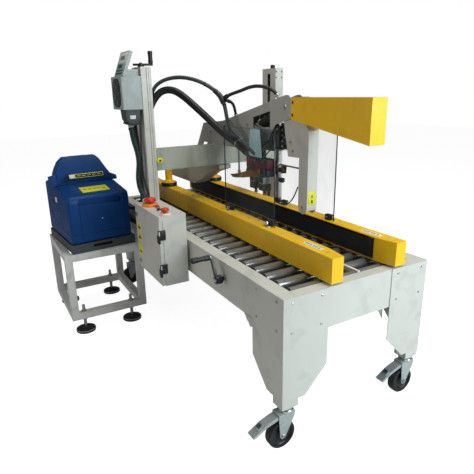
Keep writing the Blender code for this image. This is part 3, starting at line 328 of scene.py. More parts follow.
def threaded(name, axis, level, top_colour, crank_side=1.0):
    """A steel lead screw: rolled thread up to a level along an axis, black-coated beyond it."""
    surface = metal(name, grey(176), 0.3)
    place = surface.work("MULTIPLY", surface.along(axis), crank_side)
    beyond = surface.spread(place, level - 0.0004, level + 0.0004)
    thread = surface.work("SINE", surface.work("MULTIPLY", place, 2 * math.pi / 0.004), 0.0)
    thread = surface.work("MULTIPLY", thread, surface.work("SUBTRACT", 1.0, beyond))
    shader = surface.shader
    steel = shader.inputs["Base Color"].links[0].from_socket
    surface.set_colour(surface.mix(beyond, steel, top_colour))
    surface.feed(shader.inputs["Metallic"], surface.work("SUBTRACT", 1.0, beyond))
    surface.bump(thread, 0.8, 0.0008)
    return surface


def lamp_reflection_banded(name, colour, roughness, axis_stretch):
    """A coat whose tone darkens in broad soft bands: painted reflections of a hall's lamps on drawn sheet."""
    surface = paint(name, colour, roughness, worn=tint(120, 116, 106), dirt=0.28)
    shader = surface.shader
    tone = shader.inputs["Base Color"].links[0].from_socket
    # Broad soft bands that pull the tone towards a dull grey-olive: painted reflections of lamps.
    reflection_band = surface.spread(surface.noise(9.0, 2.0, stretch=axis_stretch, distortion=0.25), 0.38, 0.62)
    surface.set_colour(surface.mix(reflection_band, tone, surface.mix(0.55, tone, tint(96, 98, 88))))
    return surface


def bronze_on_steel(strut_x, strut_z):
    """Bronze-coloured blades, and the bright steel of the strut that stands on each of them."""
    surface = metal("bronze_sheet", tint(210, 150, 86), 0.24, stain=tint(124, 78, 40))
    bronze = surface.shader.inputs["Base Color"].links[0].from_socket
    beside = surface.work(
        "MULTIPLY", surface.above("X", strut_x[0]),
        surface.work("SUBTRACT", 1.0, surface.above("X", strut_x[1])),
    )
    surface.set_colour(
        surface.mix(surface.work("MULTIPLY", beside, surface.above("Z", strut_z)), bronze, grey(150))
    )
    return surface


def clear_sheet():
    """Acrylic guard sheet: nearly clear, faintly smoked, with wiped smears and dust."""
    surface = Surface("acrylic", roughness=0.06, IOR=1.49, Coat_Weight=0.6, Coat_Roughness=0.04)
    smear = surface.noise(9.0, 6.0, stretch=(1.0, 1.0, 0.35), distortion=1.2)
    surface.set_colour(surface.mix(smear, tint(34, 50, 58), tint(96, 114, 122)))
    surface.feed(surface.shader.inputs["Alpha"], surface.spread(smear, 0.35, 0.8, 0.08, 0.14))
    surface.set_roughness(surface.spread(smear, 0.4, 0.8, 0.05, 0.2))
    surface.bump(surface.noise(30.0, 2.0), 0.05, 0.0004)
    return surface


def belt_surface():
    """Black belt with a fine cross-ribbed face."""
    surface = rubber("belt_rubber", tint(17, 20, 24), 0.55, 0.18)
    weave = surface.noise(260.0, 2.0, stretch=(1.0, 1.0, 0.12))
    surface.bump(weave, 0.5, 0.0008)
    return surface


def make_surfaces():
    body, shade = tint(206, 204, 196), tint(176, 174, 166)
    made = {
        "body": paint("warm_grey_coat", body, 0.4, worn=tint(150, 146, 136)),
        "cream": paint("cream_coat", tint(222, 217, 198), 0.42),
        "head": paint("head_coat", shade, 0.38, worn=tint(120, 116, 106), dirt=0.35),
        # The beam's coat carries painted reflections in broad bands.
        "beam": lamp_reflection_banded("beam_coat_with_painted_reflections", tint(190, 194, 182), 0.2, (0.15, 1.0, 0.15)),
        "box": paint("control_coat", tint(160, 168, 166), 0.4),
        "stand": paint("stand_coat", tint(226, 225, 222), 0.34, worn=tint(120, 112, 100), dirt=0.5),
        "yellow": paint(
            "safety_yellow", tint(252, 198, 14), 0.32, worn=tint(150, 112, 20), dust=tint(170, 132, 40),
            dirt=0.18,
        ),
        "blue": plastic("deep_blue", tint(2, 60, 122), 0.36, scuff_and_highlight_colour=tint(40, 100, 160), share=0.16),
        "dark": plastic("dark_plastic", tint(66, 72, 76), 0.5),
        "black": plastic("black_plastic", tint(24, 26, 29), 0.42, scuff_and_highlight_colour=grey(70)),
        "red": plastic("signal_red", tint(205, 44, 24), 0.3, share=0.15),
        "amber": plastic("amber_plastic", tint(240, 142, 30), 0.34, share=0.15),
        "ivory": plastic("ivory_plastic", tint(226, 216, 190), 0.4, share=0.2),
        "green": plastic("dark_green_plastic", tint(14, 44, 38), 0.45, share=0.2),
        "olive": plastic("label_olive", tint(150, 146, 60), 0.5, share=0.1),
        "key_red": plastic("key_red", tint(112, 34, 44), 0.45, share=0.15),
        "key_grey": plastic("key_grey", tint(120, 130, 134), 0.45, share=0.15),
        "panel_green": plastic("panel_green", tint(150, 186, 172), 0.4, share=0.2),
        "chrome": metal("chrome", grey(226), 0.1, brush=(0.15, 1.0, 1.0)),
        "roller": metal("roller_chrome", grey(150), 0.15, brush=(1.0, 0.08, 1.0)),
        "steel": metal("bright_steel", grey(186), 0.26, brush=(1.0, 1.0, 0.2)),
        "silver": metal("bright_zinc", tint(186, 192, 192), 0.26, stain=grey(120)),
        "zinc": metal("zinc_plate", tint(176, 180, 176), 0.34, stain=tint(96, 92, 80)),
        "copper": bronze_on_steel((0.0205, 0.0345), 0.917),
        "rubber": rubber("black_rubber", tint(24, 25, 27)),
        "hose": rubber("hose_cover", tint(22, 26, 27), 0.46, 0.14),
        "conduit": rubber("conduit_cover", tint(58, 68, 68), 0.38, 0.3),
        # Coat of the dark sheet under the rollers: painted shade.
        "shade_sheet": rubber("painted_shade_coat", tint(30, 28, 26), 0.7, 0.25),
        "belt": belt_surface(),
        "clear": clear_sheet(),
        "sheet_edge": plastic("sheet_edge", tint(28, 34, 36), 0.3),
        "flap": plastic("splash_flap", tint(190, 224, 230), 0.2, share=0.2),
        "screen": plastic("screen_tint", tint(38, 44, 46), 0.15, share=0.1),
        "label": plastic("label_yellow", tint(232, 226, 40), 0.5, share=0.1),
        "white_label": plastic("label_white", tint(228, 228, 220), 0.5, share=0.1),
    }
    made["blue"].shader.inputs["Specular IOR Level"].default_value = 0.22
    made["roller"].shader.inputs["Metallic"].default_value = 0.55
    made["silver"].shader.inputs["Metallic"].default_value = 0.45
    made["lift_screw"] = threaded("lift_screw", "Z", 1.4225, tint(22, 24, 26))
    made["width_screw"] = threaded("width_screw", "Y", 0.153, tint(24, 25, 27), -1.0)
    return made


# ---------------------------------------------------------------- shapes

def block(low, high, rounding=0.0008, steps=2):
    low, high = Vector(low), Vector(high)
    shape = bmesh.new()
    bmesh.ops.create_cube(shape, size=1.0)
    place = Matrix.Translation((low + high) / 2) @ Matrix.Diagonal((*(high - low), 1.0))
    bmesh.ops.transform(shape, matrix=place, verts=shape.verts)
    return soften(shape, rounding, steps)


def soften(shape, rounding, steps=2, angle=20.0):
    """Rounds the edges that turn by more than an angle."""
    if rounding:
        sharp = [e for e in shape.edges if e.calc_face_angle(0.0) > math.radians(angle)]
        bmesh.ops.bevel(
            shape, geom=sharp, offset=rounding, segments=steps, profile=0.5, affect="EDGES",
            clamp_overlap=True,
        )
    return shape


def prism(outline, low, high, axis, rounding=0.0008, steps=2):
    """An outline, in (x, y), (x, z) or (y, z), pushed from low to high along z, y or x."""
    lift = {
        "z": lambda a, b, c: (a, b, c), "y": lambda a, b, c: (a, c, b), "x": lambda a, b, c: (c, a, b),
    }[axis]
    shape = bmesh.new()
    rows = [[shape.verts.new(lift(a, b, level)) for a, b in outline] for level in (low, high)]
    for row in rows:
        shape.faces.new(row)
    count = len(outline)
    for i in range(count):
        j = (i + 1) % count
        shape.faces.new((rows[0][i], rows[0][j], rows[1][j], rows[1][i]))
    bmesh.ops.recalc_face_normals(shape, faces=shape.faces)
    return soften(shape, rounding, steps)


def skin(rings, closed_rings=False):
    """A surface through rings of points, capped at both ends unless the rings form a loop."""
    shape = bmesh.new()
    rows = [[shape.verts.new(point) for point in ring] for ring in rings]
    count = len(rows[0])
    pairs = list(zip(rows, rows[1:]))
    if closed_rings:
        pairs.append((rows[-1], rows[0]))
    for first, second in pairs:
        for i in range(count):
            j = (i + 1) % count
            shape.faces.new((first[i], first[j], second[j], second[i]))
    if not closed_rings:
        shape.faces.new(rows[0])
        shape.faces.new(rows[-1])
    bmesh.ops.remove_doubles(shape, verts=shape.verts, dist=1e-6)
    bmesh.ops.recalc_face_normals(shape, faces=shape.faces)
    return shape


def lathe(profile, steps=32, closed=False):
    """Turns (radius, height) points about z."""
    angles = np.linspace(0.0, 2 * math.pi, steps, endpoint=False)
    rings = [
        [(max(radius, 1e-5) * math.cos(a), max(radius, 1e-5) * math.sin(a), height) for a in angles]
        for radius, height in profile
    ]
    return skin(rings, closed)


def spot(x, y, z=0.0):
    """The move that takes a shape from the origin to a place."""
    return Matrix.Translation((x, y, z))


def aimed(at, direction):
    turn = Vector(direction).to_track_quat("Z", "Y").to_matrix().to_4x4()
    return Matrix.Translation(at) @ turn


def moved(shape, matrix):
    bmesh.ops.transform(shape, matrix=matrix, verts=shape.verts)
    return shape


def rod(start, end, radius, steps=24, chamfer=0.0006):
    """A round bar with chamfered ends."""
    start, end = Vector(start), Vector(end)
    length = (end - start).length
    profile = [
        (0, 0), (radius - chamfer, 0), (radius, chamfer), (radius, length - chamfer),
        (radius - chamfer, length), (0, length),
    ]
    return moved(lathe(profile, steps), aimed(start, end - start))


def screw_head(at, direction, radius, height, kind="dome"):
    """A domed, hexagon or socket screw head that stands on a face."""
    if kind == "hex":
        shape = lathe(
            [(0, 0), (radius, 0), (radius, height * 0.8), (radius * 0.85, height), (0, height)], 6,
        )
    elif kind == "socket":
        shape = lathe([
            (0, 0), (radius, 0), (radius, height * 0.85), (radius * 0.9, height), (radius * 0.55, height),
            (radius * 0.5, height * 0.4), (0, height * 0.4),
        ], 18)
    else:
        arc = [
            (
                radius * math.cos(a), height * (0.25 + 0.75 * math.sin(a)),
            ) for a in np.radians((0, 25, 50, 75))
        ]
        shape = lathe([(0, 0), (radius, 0), *arc, (0, height)], 18)
    return moved(shape, aimed(at, direction))


def smooth_route(points, spacing):
    """Evenly spaced points on the natural cubic spline through the route's points."""
    points = np.array(points, float)
    chords = np.linalg.norm(np.diff(points, axis=0), axis=1)
    knots = np.concatenate([[0.0], np.cumsum(chords)])
    count = len(points)
    system = np.zeros((count, count))
    right = np.zeros((count, 3))
    system[0, 0] = system[-1, -1] = 1.0
    for i in range(1, count - 1):
        before, after = chords[i - 1], chords[i]
        system[i, i - 1 : i + 2] = before, 2 * (before + after), after
        right[i] = 6 * ((points[i + 1] - points[i]) / after - (points[i] - points[i - 1]) / before)
    bend = np.linalg.solve(system, right)
    samples = max(2, round(knots[-1] / spacing)) + 1
    route = []
    for at in np.linspace(0.0, knots[-1], samples):
        i = min(int(np.searchsorted(knots, at, side="right")) - 1, count - 2)
        left, rest = (knots[i + 1] - at) / chords[i], (at - knots[i]) / chords[i]
        route.append(
            left * points[i] + rest * points[i + 1]
            + ((left**3 - left) * bend[i] + (rest**3 - rest) * bend[i + 1]) * chords[i] ** 2 / 6
        )
    return route


def sweep(route, radii, steps=16):
    """A round tube along a route, its radius given for each point, without twist."""
    route = [Vector(point) for point in route]
    ways = [(b - a).normalized() for a, b in zip(route, route[1:])]
    ways = [ways[0]] + [(a + b).normalized() for a, b in zip(ways, ways[1:])] + [ways[-1]]
    side = ways[0].orthogonal().normalized()
    rings = []
    for point, way, radius in zip(route, ways, radii):
        side = (side - way * side.dot(way)).normalized()
        other = way.cross(side)
        rings.append([
            point + radius * (math.cos(a) * side + math.sin(a) * other)
            for a in np.linspace(0.0, 2 * math.pi, steps, endpoint=False)
        ])
    return skin(rings)


def wire(points, radius, spacing=0.006, steps=12):
    route = smooth_route(points, spacing)
    return sweep(route, [radius] * len(route), steps)


class Piece:
    """One visible object put together from shapes, each with its own surface."""

    def __init__(self, name, body, slot):
        self.name, self.body, self.slot = name, body, slot
        self.shape = bmesh.new()
        self.materials = []

    def add(self, shape, surface, matrix=None):
        material = SURFACES[surface].material
        if material not in self.materials:
            self.materials.append(material)
        for face in shape.faces:
            face.material_index = self.materials.index(material)
        if matrix is not None:
            moved(shape, matrix)
        mesh = bpy.data.meshes.new(self.name)
        shape.to_mesh(mesh)
        shape.free()
        self.shape.from_mesh(mesh)
        bpy.data.meshes.remove(mesh)
        return self

    def made(self, replaces=(), ride=True, angle=32.0):
        moved(self.shape, Matrix.Translation(SHIFT))
        mesh = bpy.data.meshes.new(self.name)
        self.shape.to_mesh(mesh)
        self.shape.free()
        for material in self.materials:
            mesh.materials.append(material)
        mesh.shade_smooth()
        mesh.set_sharp_from_angle(angle=math.radians(angle))
        piece = bpy.data.objects.new(self.name, mesh)
        bpy.context.scene.collection.objects.link(piece)
        if ride:
            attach(piece, self.body)
        if replaces:
            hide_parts(*replaces)
        return piece


def boolean(base, cutters):
    """Cuts closed shapes out of a shape, exactly."""
    held = []
    for number, shape in enumerate((base, *cutters)):
        mesh = bpy.data.meshes.new(f"boolean_{number}")
        shape.to_mesh(mesh)
        shape.free()
        held.append(bpy.data.objects.new(f"boolean_{number}", mesh))
        bpy.context.scene.collection.objects.link(held[-1])
    for cutter in held[1:]:
        modifier = held[0].modifiers.new("Cut", "BOOLEAN")
        modifier.operation, modifier.solver, modifier.object = "DIFFERENCE", "EXACT", cutter
    graph = bpy.context.evaluated_depsgraph_get()
    mesh = bpy.data.meshes.new_from_object(held[0].evaluated_get(graph))
    cut = bmesh.new()
    cut.from_mesh(mesh)
    for used in held:
        bpy.data.objects.remove(used, do_unlink=True)
    bpy.data.meshes.remove(mesh)
    return cut


# ---------------------------------------------------------------- hoses

MELT_HOSE = [
    (-1.868, -0.32, 0.58), (-1.902, -0.265, 0.58), (-1.915, -0.2, 0.58),
    (-1.902, -0.135, 0.58), (-1.865, -0.08, 0.58), (-1.81, -0.043, 0.58),
    (-1.745, -0.031, 0.58), (-1.63, -0.031, 0.58), (-1.51, -0.031, 0.585),
    (-1.408, -0.031, 0.632), (-1.355, -0.029, 0.735), (-1.347, -0.014, 0.86),
    (-1.354, 0.001, 0.985), (-1.364, 0.014, 1.11), (-1.364, 0.038, 1.22),
    (-1.352, 0.076, 1.304), (-1.328, 0.12, 1.35), (-1.294, 0.167, 1.353),
    (-1.255, 0.21, 1.322), (-1.2, 0.252, 1.269), (-1.12, 0.297, 1.199),
    (-1.025, 0.325, 1.137), (-0.905, 0.346, 1.087), (-0.803, 0.3505, 1.05),
]
AIR_HOSE = [
    (-1.872, -0.2, 0.66), (-1.893, -0.155, 0.66), (-1.888, -0.098, 0.66),
    (-1.854, -0.058, 0.66), (-1.795, -0.046, 0.66), (-1.685, -0.046, 0.66),
    (-1.575, -0.045, 0.661), (-1.475, -0.037, 0.684), (-1.407, -0.014, 0.75),
    (-1.386, 0.018, 0.845), (-1.384, 0.038, 0.955), (-1.388, 0.048, 1.07),
    (-1.392, 0.056, 1.19), (-1.386, 0.07, 1.3), (-1.36, 0.088, 1.37),
    (-1.318, 0.122, 1.404), (-1.262, 0.161, 1.418), (-1.19, 0.206, 1.415),
    (-1.118, 0.252, 1.393), (-1.05, 0.286, 1.358), (-1.001, 0.307, 1.319),
    (-0.972, 0.315, 1.272), (-0.961, 0.319, 1.224), (-0.947, 0.325, 1.178),
    (-0.905, 0.331, 1.142), (-0.845, 0.335, 1.11), (-0.785, 0.338, 1.0825),
]
VALVE_LINE = [
    (-0.97, 0.3165, 1.312), (-0.916, 0.325, 1.329), (-0.864, 0.345, 1.343),
    (-0.806, 0.361, 1.3585), (-0.748, 0.376, 1.3635), (-0.694, 0.39, 1.356),
    (-0.65, 0.4, 1.339), (-0.62, 0.406, 1.314),
]
SENSOR_LINE = [
    (-0.971, 0.334, 1.296), (-0.972, 0.352, 1.29), (-0.984, 0.376, 1.27),
    (-1.003, 0.395, 1.242), (-1.008, 0.403, 1.22),
]
LOOM = [
    (-1.2, -0.112, 1.172), (-1.192, -0.107, 1.11), (-1.18, -0.095, 1.04),
    (-1.179, -0.094, 0.975), (-1.188, -0.099, 0.91), (-1.176, -0.097, 0.855),
    (-1.145, -0.094, 0.824), (-1.1265, -0.092, 0.8045),
]
# The two hoses from the glue unit run between these points; they are fixed in place and ride on no body.
CENTRELINE_SPACING = 0.03


def row(point):
    return tuple(Vector(point) + SHIFT)


def ribbed(points, diameter, pitch, depth, steps):
    """A corrugated tube: a crest and a groove in each pitch."""
    route = smooth_route(points, pitch / 4)
    radii = [diameter / 2 - depth * (0.5 - 0.5 * math.cos(math.pi * n / 2)) for n in range(len(route))]
    radii[0] = radii[-1] = diameter / 2 - depth
    return sweep(route, radii, steps)


def build_hose(name, points, diameter, body, surface, pitch, depth, steps=18):
    piece = Piece(f"{name}_tube", body, "black_rubber")
    piece.add(ribbed(points, diameter, pitch, depth, steps), surface)
    bends = body == "bending"
    made = piece.made(replaces=[name], ride=not bends, angle=80.0)
    if bends:
        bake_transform(made)
    centreline = [row(point) for point in smooth_route(points, CENTRELINE_SPACING)]


def build_hoses():
    build_hose("melt_hose", MELT_HOSE, 0.04, "bending", "hose", 0.01, 0.0012, 22)
    build_hose("air_hose", AIR_HOSE, 0.021, "bending", "conduit", 0.0056, 0.0012)
    build_hose("valve_line", VALVE_LINE, 0.017, "head", "hose", 0.005, 0.0008)
    build_hose("sensor_line", SENSOR_LINE, 0.015, "head", "hose", 0.005, 0.0008)
    build_hose("control_loom", LOOM, 0.03, "base", "green", 0.006, 0.001)


def collar(piece, points, at, length, radius, surface):
    """A short band round a hose, centred on a share of its length."""
    route = smooth_route(points, 0.004)
    middle = int(at * (len(route) - 1))
    half = max(1, round(length / 0.008))
    part = route[max(0, middle - half) : middle + half + 1]
    ease = [0.82] + [1.0] * (len(part) - 2) + [0.82]
    piece.add(sweep(part, [radius * share for share in ease], 20), surface)


def build_hose_fittings():
    fittings = Piece("hose_branch", "head", "dark_plastic")
    branch = [(-1.036, 0.2925, 1.348), (-1.001, 0.307, 1.319), (-0.978, 0.3135, 1.287)]
    boot = smooth_route(branch, 0.006)
    fittings.add(sweep(boot, np.linspace(0.0125, 0.015, len(boot)).tolist(), 20), "black")
    link = [(-0.992, 0.311, 1.306), (-0.981, 0.321, 1.3035), (-0.971, 0.3345, 1.2955)]
    fittings.add(wire(link, 0.0084), "black")
    collar(fittings, VALVE_LINE, 0.04, 0.03, 0.0112, "black")
    collar(fittings, SENSOR_LINE, 0.1, 0.02, 0.0098, "black")
    collar(fittings, VALVE_LINE, 0.985, 0.014, 0.0112, "zinc")
    collar(fittings, SENSOR_LINE, 0.97, 0.01, 0.01, "zinc")
    collar(fittings, MELT_HOSE, 0.955, 0.012, 0.0216, "zinc")
    collar(fittings, MELT_HOSE, 0.992, 0.026, 0.0225, "black")
    collar(fittings, AIR_HOSE, 0.972, 0.01, 0.0128, "zinc")
    for at in (0.78, 0.86):
        collar(fittings, AIR_HOSE, at, 0.008, 0.0118, "black")
    thin = [
        (-0.985, 0.345, 1.165), (-0.975, 0.348, 1.12), (-0.95, 0.35, 1.08), (-0.9, 0.356, 1.052),
        (-0.83, 0.366, 1.03),
    ]
    fittings.add(wire(thin, 0.0022), "black")
    thin = [(-0.958, 0.3365, 1.2), (-0.915, 0.345, 1.168), (-0.85, 0.352, 1.128), (-0.796, 0.3565, 1.06)]
    fittings.add(wire(thin, 0.003), "conduit")
    fittings.made()

    lower = Piece("hose_ends", "base", "dark_plastic")
    collar(lower, MELT_HOSE, 0.006, 0.026, 0.0225, "black")
    collar(lower, AIR_HOSE, 0.006, 0.02, 0.0128, "black")
    collar(lower, LOOM, 0.02, 0.018, 0.0172, "black")
    collar(lower, LOOM, 0.975, 0.014, 0.0172, "black")
    for at in (0.3, 0.56, 0.8):
        collar(lower, LOOM, at, 0.006, 0.0158, "black")
    lower.made()


# ---------------------------------------------------------------- bed and rollers

ROLLER_RADIUS, ROLLER_PITCH, ROLLER_FIRST, ROLLER_COUNT, ROLLER_Z = 0.021, 0.0807, 0.073, 23, 0.631


def build_rollers():
    """Each row is two chromed tubes on one axle, with black bearing caps at both ends."""
    piece = Piece("roller_rows", "base", "chrome")
    halves = ((0.072, CENTRE_Y - 0.009), (CENTRE_Y + 0.009, BED_WIDTH - 0.072))
    for n in range(ROLLER_COUNT):
        x = -ROLLER_FIRST - n * ROLLER_PITCH
        for low, high in halves:
            piece.add(
                rod((x, low + 0.004, ROLLER_Z), (x, high - 0.004, ROLLER_Z), ROLLER_RADIUS, 28, 0.0012),
                "roller",
            )
            for start, end in ((low, low + 0.0055), (high - 0.0055, high)):
                piece.add(
                    rod((x, start, ROLLER_Z), (x, end, ROLLER_Z), ROLLER_RADIUS - 0.0016, 20, 0.001),
                    "black",
                )
        piece.add(rod((x, 0.0632, ROLLER_Z), (x, BED_WIDTH - 0.0632, ROLLER_Z), 0.0056, 6, 0.0004), "zinc")
    ends = (-BED_LENGTH + 0.056, -0.056)
    for y in (0.066, BED_WIDTH - 0.066):
        piece.add(block((ends[0], y - 0.0019, 0.612), (ends[1], y + 0.0019, 0.645)), "dark")
    piece.add(
        block((ends[0], CENTRE_Y - 0.0058, 0.6285), (ends[1], CENTRE_Y + 0.0058, 0.6533), 0.001), "cream",
    )
    piece.made(replaces=["roller_bed"])

    # A dark sheet under the rollers, so that the gaps between them look dark: painted shade.
    shade_sheet = Piece("roller_shade_sheet", "base", "dark_plastic")
    shade_sheet.add(
        block((-BED_LENGTH + 0.008, 0.008, 0.5315), (-0.008, BED_WIDTH - 0.008, 0.533), 0.0004), "shade_sheet",
    )
    shade_sheet.made()


def build_leg_details():
    """Screws through the legs, and the small brackets beside them."""
    bolts = Piece("leg_screws", "base", "steel")
    for z in (0.6275, 0.5127):
        for along in (0.039, 0.173):
            for y in (along, BED_WIDTH - along):
                bolts.add(screw_head((0.0, y, z), INFEED, 0.0062, 0.003), "chrome")
                bolts.add(screw_head((-BED_LENGTH, y, z), OUTFEED, 0.0062, 0.003), "chrome")
            for x in (-along - 0.004, -BED_LENGTH + along + 0.004):
                bolts.add(screw_head((x, 0.0, z), NEAR, 0.0062, 0.003), "zinc")
                bolts.add(screw_head((x, BED_WIDTH, z), FAR, 0.0062, 0.003), "zinc")
    for x in (-1.251, -1.167):
        for y, way in ((-0.0605, NEAR), (0.8005, FAR)):
            bolts.add(screw_head((x, y, 0.6), way, 0.0055, 0.003, "socket"), "zinc")
    bolts.made()

    brackets = Piece("leg_brackets", "base", "beige_paint")
    notch = [
        (-0.268, 0.4865), (-0.2085, 0.4865), (-0.2085, 0.452), (-0.226, 0.446), (-0.236, 0.46),
        (-0.25, 0.466), (-0.256, 0.476),
    ]
    for y in (0.0, BED_WIDTH - 0.003):
        brackets.add(prism(notch, y, y + 0.003, "y", 0.0004), "body")
        rear = [(-BED_LENGTH - x, z) for x, z in notch]
        brackets.add(prism(rear, y, y + 0.003, "y", 0.0004), "body")
    brace = [(0.21, 0.4865), (0.25, 0.4865), (0.21, 0.42)]
    for x in (-0.034, -BED_LENGTH + 0.031):
        brackets.add(prism(brace, x, x + 0.003, "x", 0.0004), "head")
        far = [(BED_WIDTH - y, z) for y, z in brace]
        brackets.add(prism(far, x, x + 0.003, "x", 0.0004), "head")
    brackets.made()


CORNERS = {
    "infeed_near": (-0.032, 0.0375), "infeed_far": (-0.032, BED_WIDTH - 0.0375),
    "outfeed_near": (-BED_LENGTH + 0.032, 0.0375), "outfeed_far": (-BED_LENGTH + 0.032, BED_WIDTH - 0.0375),
}
WHEEL_RADIUS, WHEEL_HALF, CASTER_TRAIL = 0.06, 0.017, 0.024


def build_casters():
    half = WHEEL_HALF
    tread = [
        (0.0455, half - 0.005), (0.047, half - 0.0005), (0.056, half), (0.0588, half - 0.0018),
        (WHEEL_RADIUS, half - 0.006), (WHEEL_RADIUS, -half + 0.006), (0.0588, -half + 0.0018),
        (0.056, -half), (0.047, -half + 0.0005), (0.0455, -half + 0.005),
    ]
    hub = [
        (0.0064, half), (0.018, half), (0.0205, half - 0.002), (0.023, half - 0.0075), (0.04, half - 0.0075),
        (0.044, half - 0.0035), (0.0462, half - 0.0035), (0.0462, -half + 0.0035), (0.044, -half + 0.0035),
        (0.04, -half + 0.0075), (0.023, -half + 0.0075), (0.0205, -half + 0.002), (0.018, -half),
        (0.0064, -half),
    ]
    axle_z = FLOOR + WHEEL_RADIUS
    for corner, (x, y) in CORNERS.items():
        axle_y = y - CASTER_TRAIL
        wheel = Piece(f"wheel_{corner}", f"wheel_{corner}", "black_rubber")
        place = aimed((x, axle_y, axle_z), INFEED)
        wheel.add(lathe(tread, 56, closed=True), "rubber", place)
        wheel.add(lathe(hub, 40, closed=True), "black", place)
        wheel.made(replaces=[f"caster_wheel_{corner}"])

        fork = Piece(f"fork_details_{corner}", f"fork_{corner}", "chrome")
        for way, side in ((INFEED, 1), (OUTFEED, -1)):
            fork.add(screw_head((x + side * 0.0235, axle_y, axle_z), way, 0.0095, 0.005, "hex"), "zinc")
        race = [(0.0282, 0.0), (0.0305, 0.002), (0.0305, 0.006), (0.0282, 0.008)]
        fork.add(lathe([*race, (0.0278, 0.004)], 36, closed=True), "chrome", spot(x, y, 0.1745))
        fork.add(
            lathe([(0.0282, 0.0), (0.0296, 0.001), (0.0282, 0.002), (0.0278, 0.001)], 36, closed=True),
            "black", spot(x, y, 0.1835),
        )
        lip = [(y + 0.03, 0.1715), (y - 0.0435, 0.1715), (y - 0.0435, 0.1735), (y + 0.03, 0.1735)]
        fork.add(prism(lip, x - 0.0205, x + 0.0205, "x", 0.0008), "silver")
        fork.made()
    for corner in ("infeed_near", "infeed_far"):
        x, y = CORNERS[corner]
        pedal = Piece(f"pedal_details_{corner}", f"pedal_{corner}", "steel")
        slope = math.atan2(0.028, 0.042)
        place = spot(x, y - 0.118, 0.144) @ Matrix.Rotation(slope, 4, "X")
        pedal.add(block((-0.0145, -0.015, -0.0022), (0.0145, 0.012, 0.003), 0.0012), "silver", place)
        pedal.add(block((-0.0105, -0.011, 0.0026), (0.0105, 0.008, 0.0036), 0.0004), "dark", place)
        pedal.made()


# ---------------------------------------------------------------- columns and head

def build_column_details():
    fixed = Piece("column_details", "base", "steel")
    for y in (-0.034, BED_WIDTH + 0.034):
        for x in (-1.262, -1.156):
            fixed.add(screw_head((x, y, 1.467), UP, 0.0048, 0.003, "socket"), "zinc")
    for z in (0.52, 1.415, 1.448):
        fixed.add(screw_head((-1.14, 0.752, z), INFEED, 0.0042, 0.0022), "black")
        fixed.add(screw_head((-1.14, 0.79, z), INFEED, 0.0042, 0.0022), "black")
    for y, wide, surface in (
        (-0.033, 0.002, "dark"), (-0.0215, 0.0012, "dark"), (-0.011, 0.0016, "white_label"),
    ):
        fixed.add(block((-1.1402, y, 0.665), (-1.1396, y + wide, 1.462), 0.0), surface)
    fixed.add(block((-1.168, -0.0612, 0.665), (-1.166, -0.0604, 1.18), 0.0), "dark")
    # A black strip in the mouth of the far column's slot: painted shade of the slot's inside.
    slot_shade = [(-1.2215, 0.7465), (-1.2165, 0.7465), (-1.2165, 0.7485), (-1.2215, 0.7485)]
    fixed.add(prism(slot_shade, 0.66, 1.435, "z", 0.0), "black")
    fixed.made()

    crank = Piece("lift_crank_cover", "crank_lift", "dark_plastic")
    start, end = Vector((-1.218, -0.072)), Vector((-1.193, 0.024))
    along = (end - start).normalized()
    side = Vector((-along.y, along.x)) * 0.0098
    crank.add(
        prism(
            [tuple(start + side), tuple(start - side), tuple(end - side), tuple(end + side)], 1.4745,
            1.4848, "z", 0.0015, 3,
        ),
        "black",
    )
    crank.add(screw_head((-1.209, -0.034, 1.4848), UP, 0.008, 0.005, "hex"), "zinc")
    crank.add(screw_head((-1.1953, 0.0141, 1.5425), UP, 0.0042, 0.0015), "chrome")
    crank.made()
    knob = Piece("screw_knob_far", "screw_far", "dark_plastic")
    knob.add(
        lathe([(0, 0), (0.0125, 0), (0.0135, 0.003), (0.0135, 0.014), (0.011, 0.0195), (0, 0.0205)], 28),
        "black", spot(-1.209, BED_WIDTH + 0.034, 1.4682),
    )
    knob.made()


def grip_profile(half, waist, wide):
    return [
        (0.0056, half), (waist * 0.82, half), (wide * 0.96, half * 0.93), (wide, half * 0.8),
        (waist * 1.03, half * 0.25), (waist, 0.0), (waist * 1.05, -half * 0.4), (wide * 0.97, -half * 0.8),
        (wide * 0.95, -half * 0.92), (waist * 0.8, -half), (0.0056, -half),
    ]


def build_grips():
    lift = Piece("lift_grip", "grip_lift", "black_rubber")
    profile = [
        (
            0.0046 if radius == 0.0056 else radius, height,
        ) for radius, height in grip_profile(0.03, 0.0108, 0.0126)
    ]
    lift.add(lathe(profile, 32, closed=True), "black", spot(-1.1953, 0.0141, 1.5145))
    lift.made(replaces=["lift_crank_grip"])
    width = Piece("width_grip", "grip_width", "black_rubber")
    width.add(
        lathe(grip_profile(0.044, 0.0105, 0.0124), 32, closed=True), "black",
        aimed((-0.478, -0.085, 0.668), NEAR),
    )
    for offset in (-0.03, -0.018, 0.018, 0.03):
        ring = [(0.0122, -0.001), (0.0131, 0.0), (0.0122, 0.001), (0.0112, 0.0)]
        width.add(lathe(ring, 28, closed=True), "black", aimed((-0.478, -0.085 + offset, 0.668), NEAR))
    width.made(replaces=["width_crank_grip"])

    arm = Piece("width_crank_details", "crank_width", "steel")
    arm.add(screw_head((-0.4361, -0.0401, 0.578), NEAR, 0.0085, 0.005, "hex"), "chrome")
    arm.add(screw_head((-0.478, -0.0401, 0.668), NEAR, 0.009, 0.0045, "hex"), "chrome")
    arm.add(rod((-0.4361, -0.0125, 0.578), (-0.4361, -0.0295, 0.578), 0.0195, 36, 0.002), "black")
    arm.made()


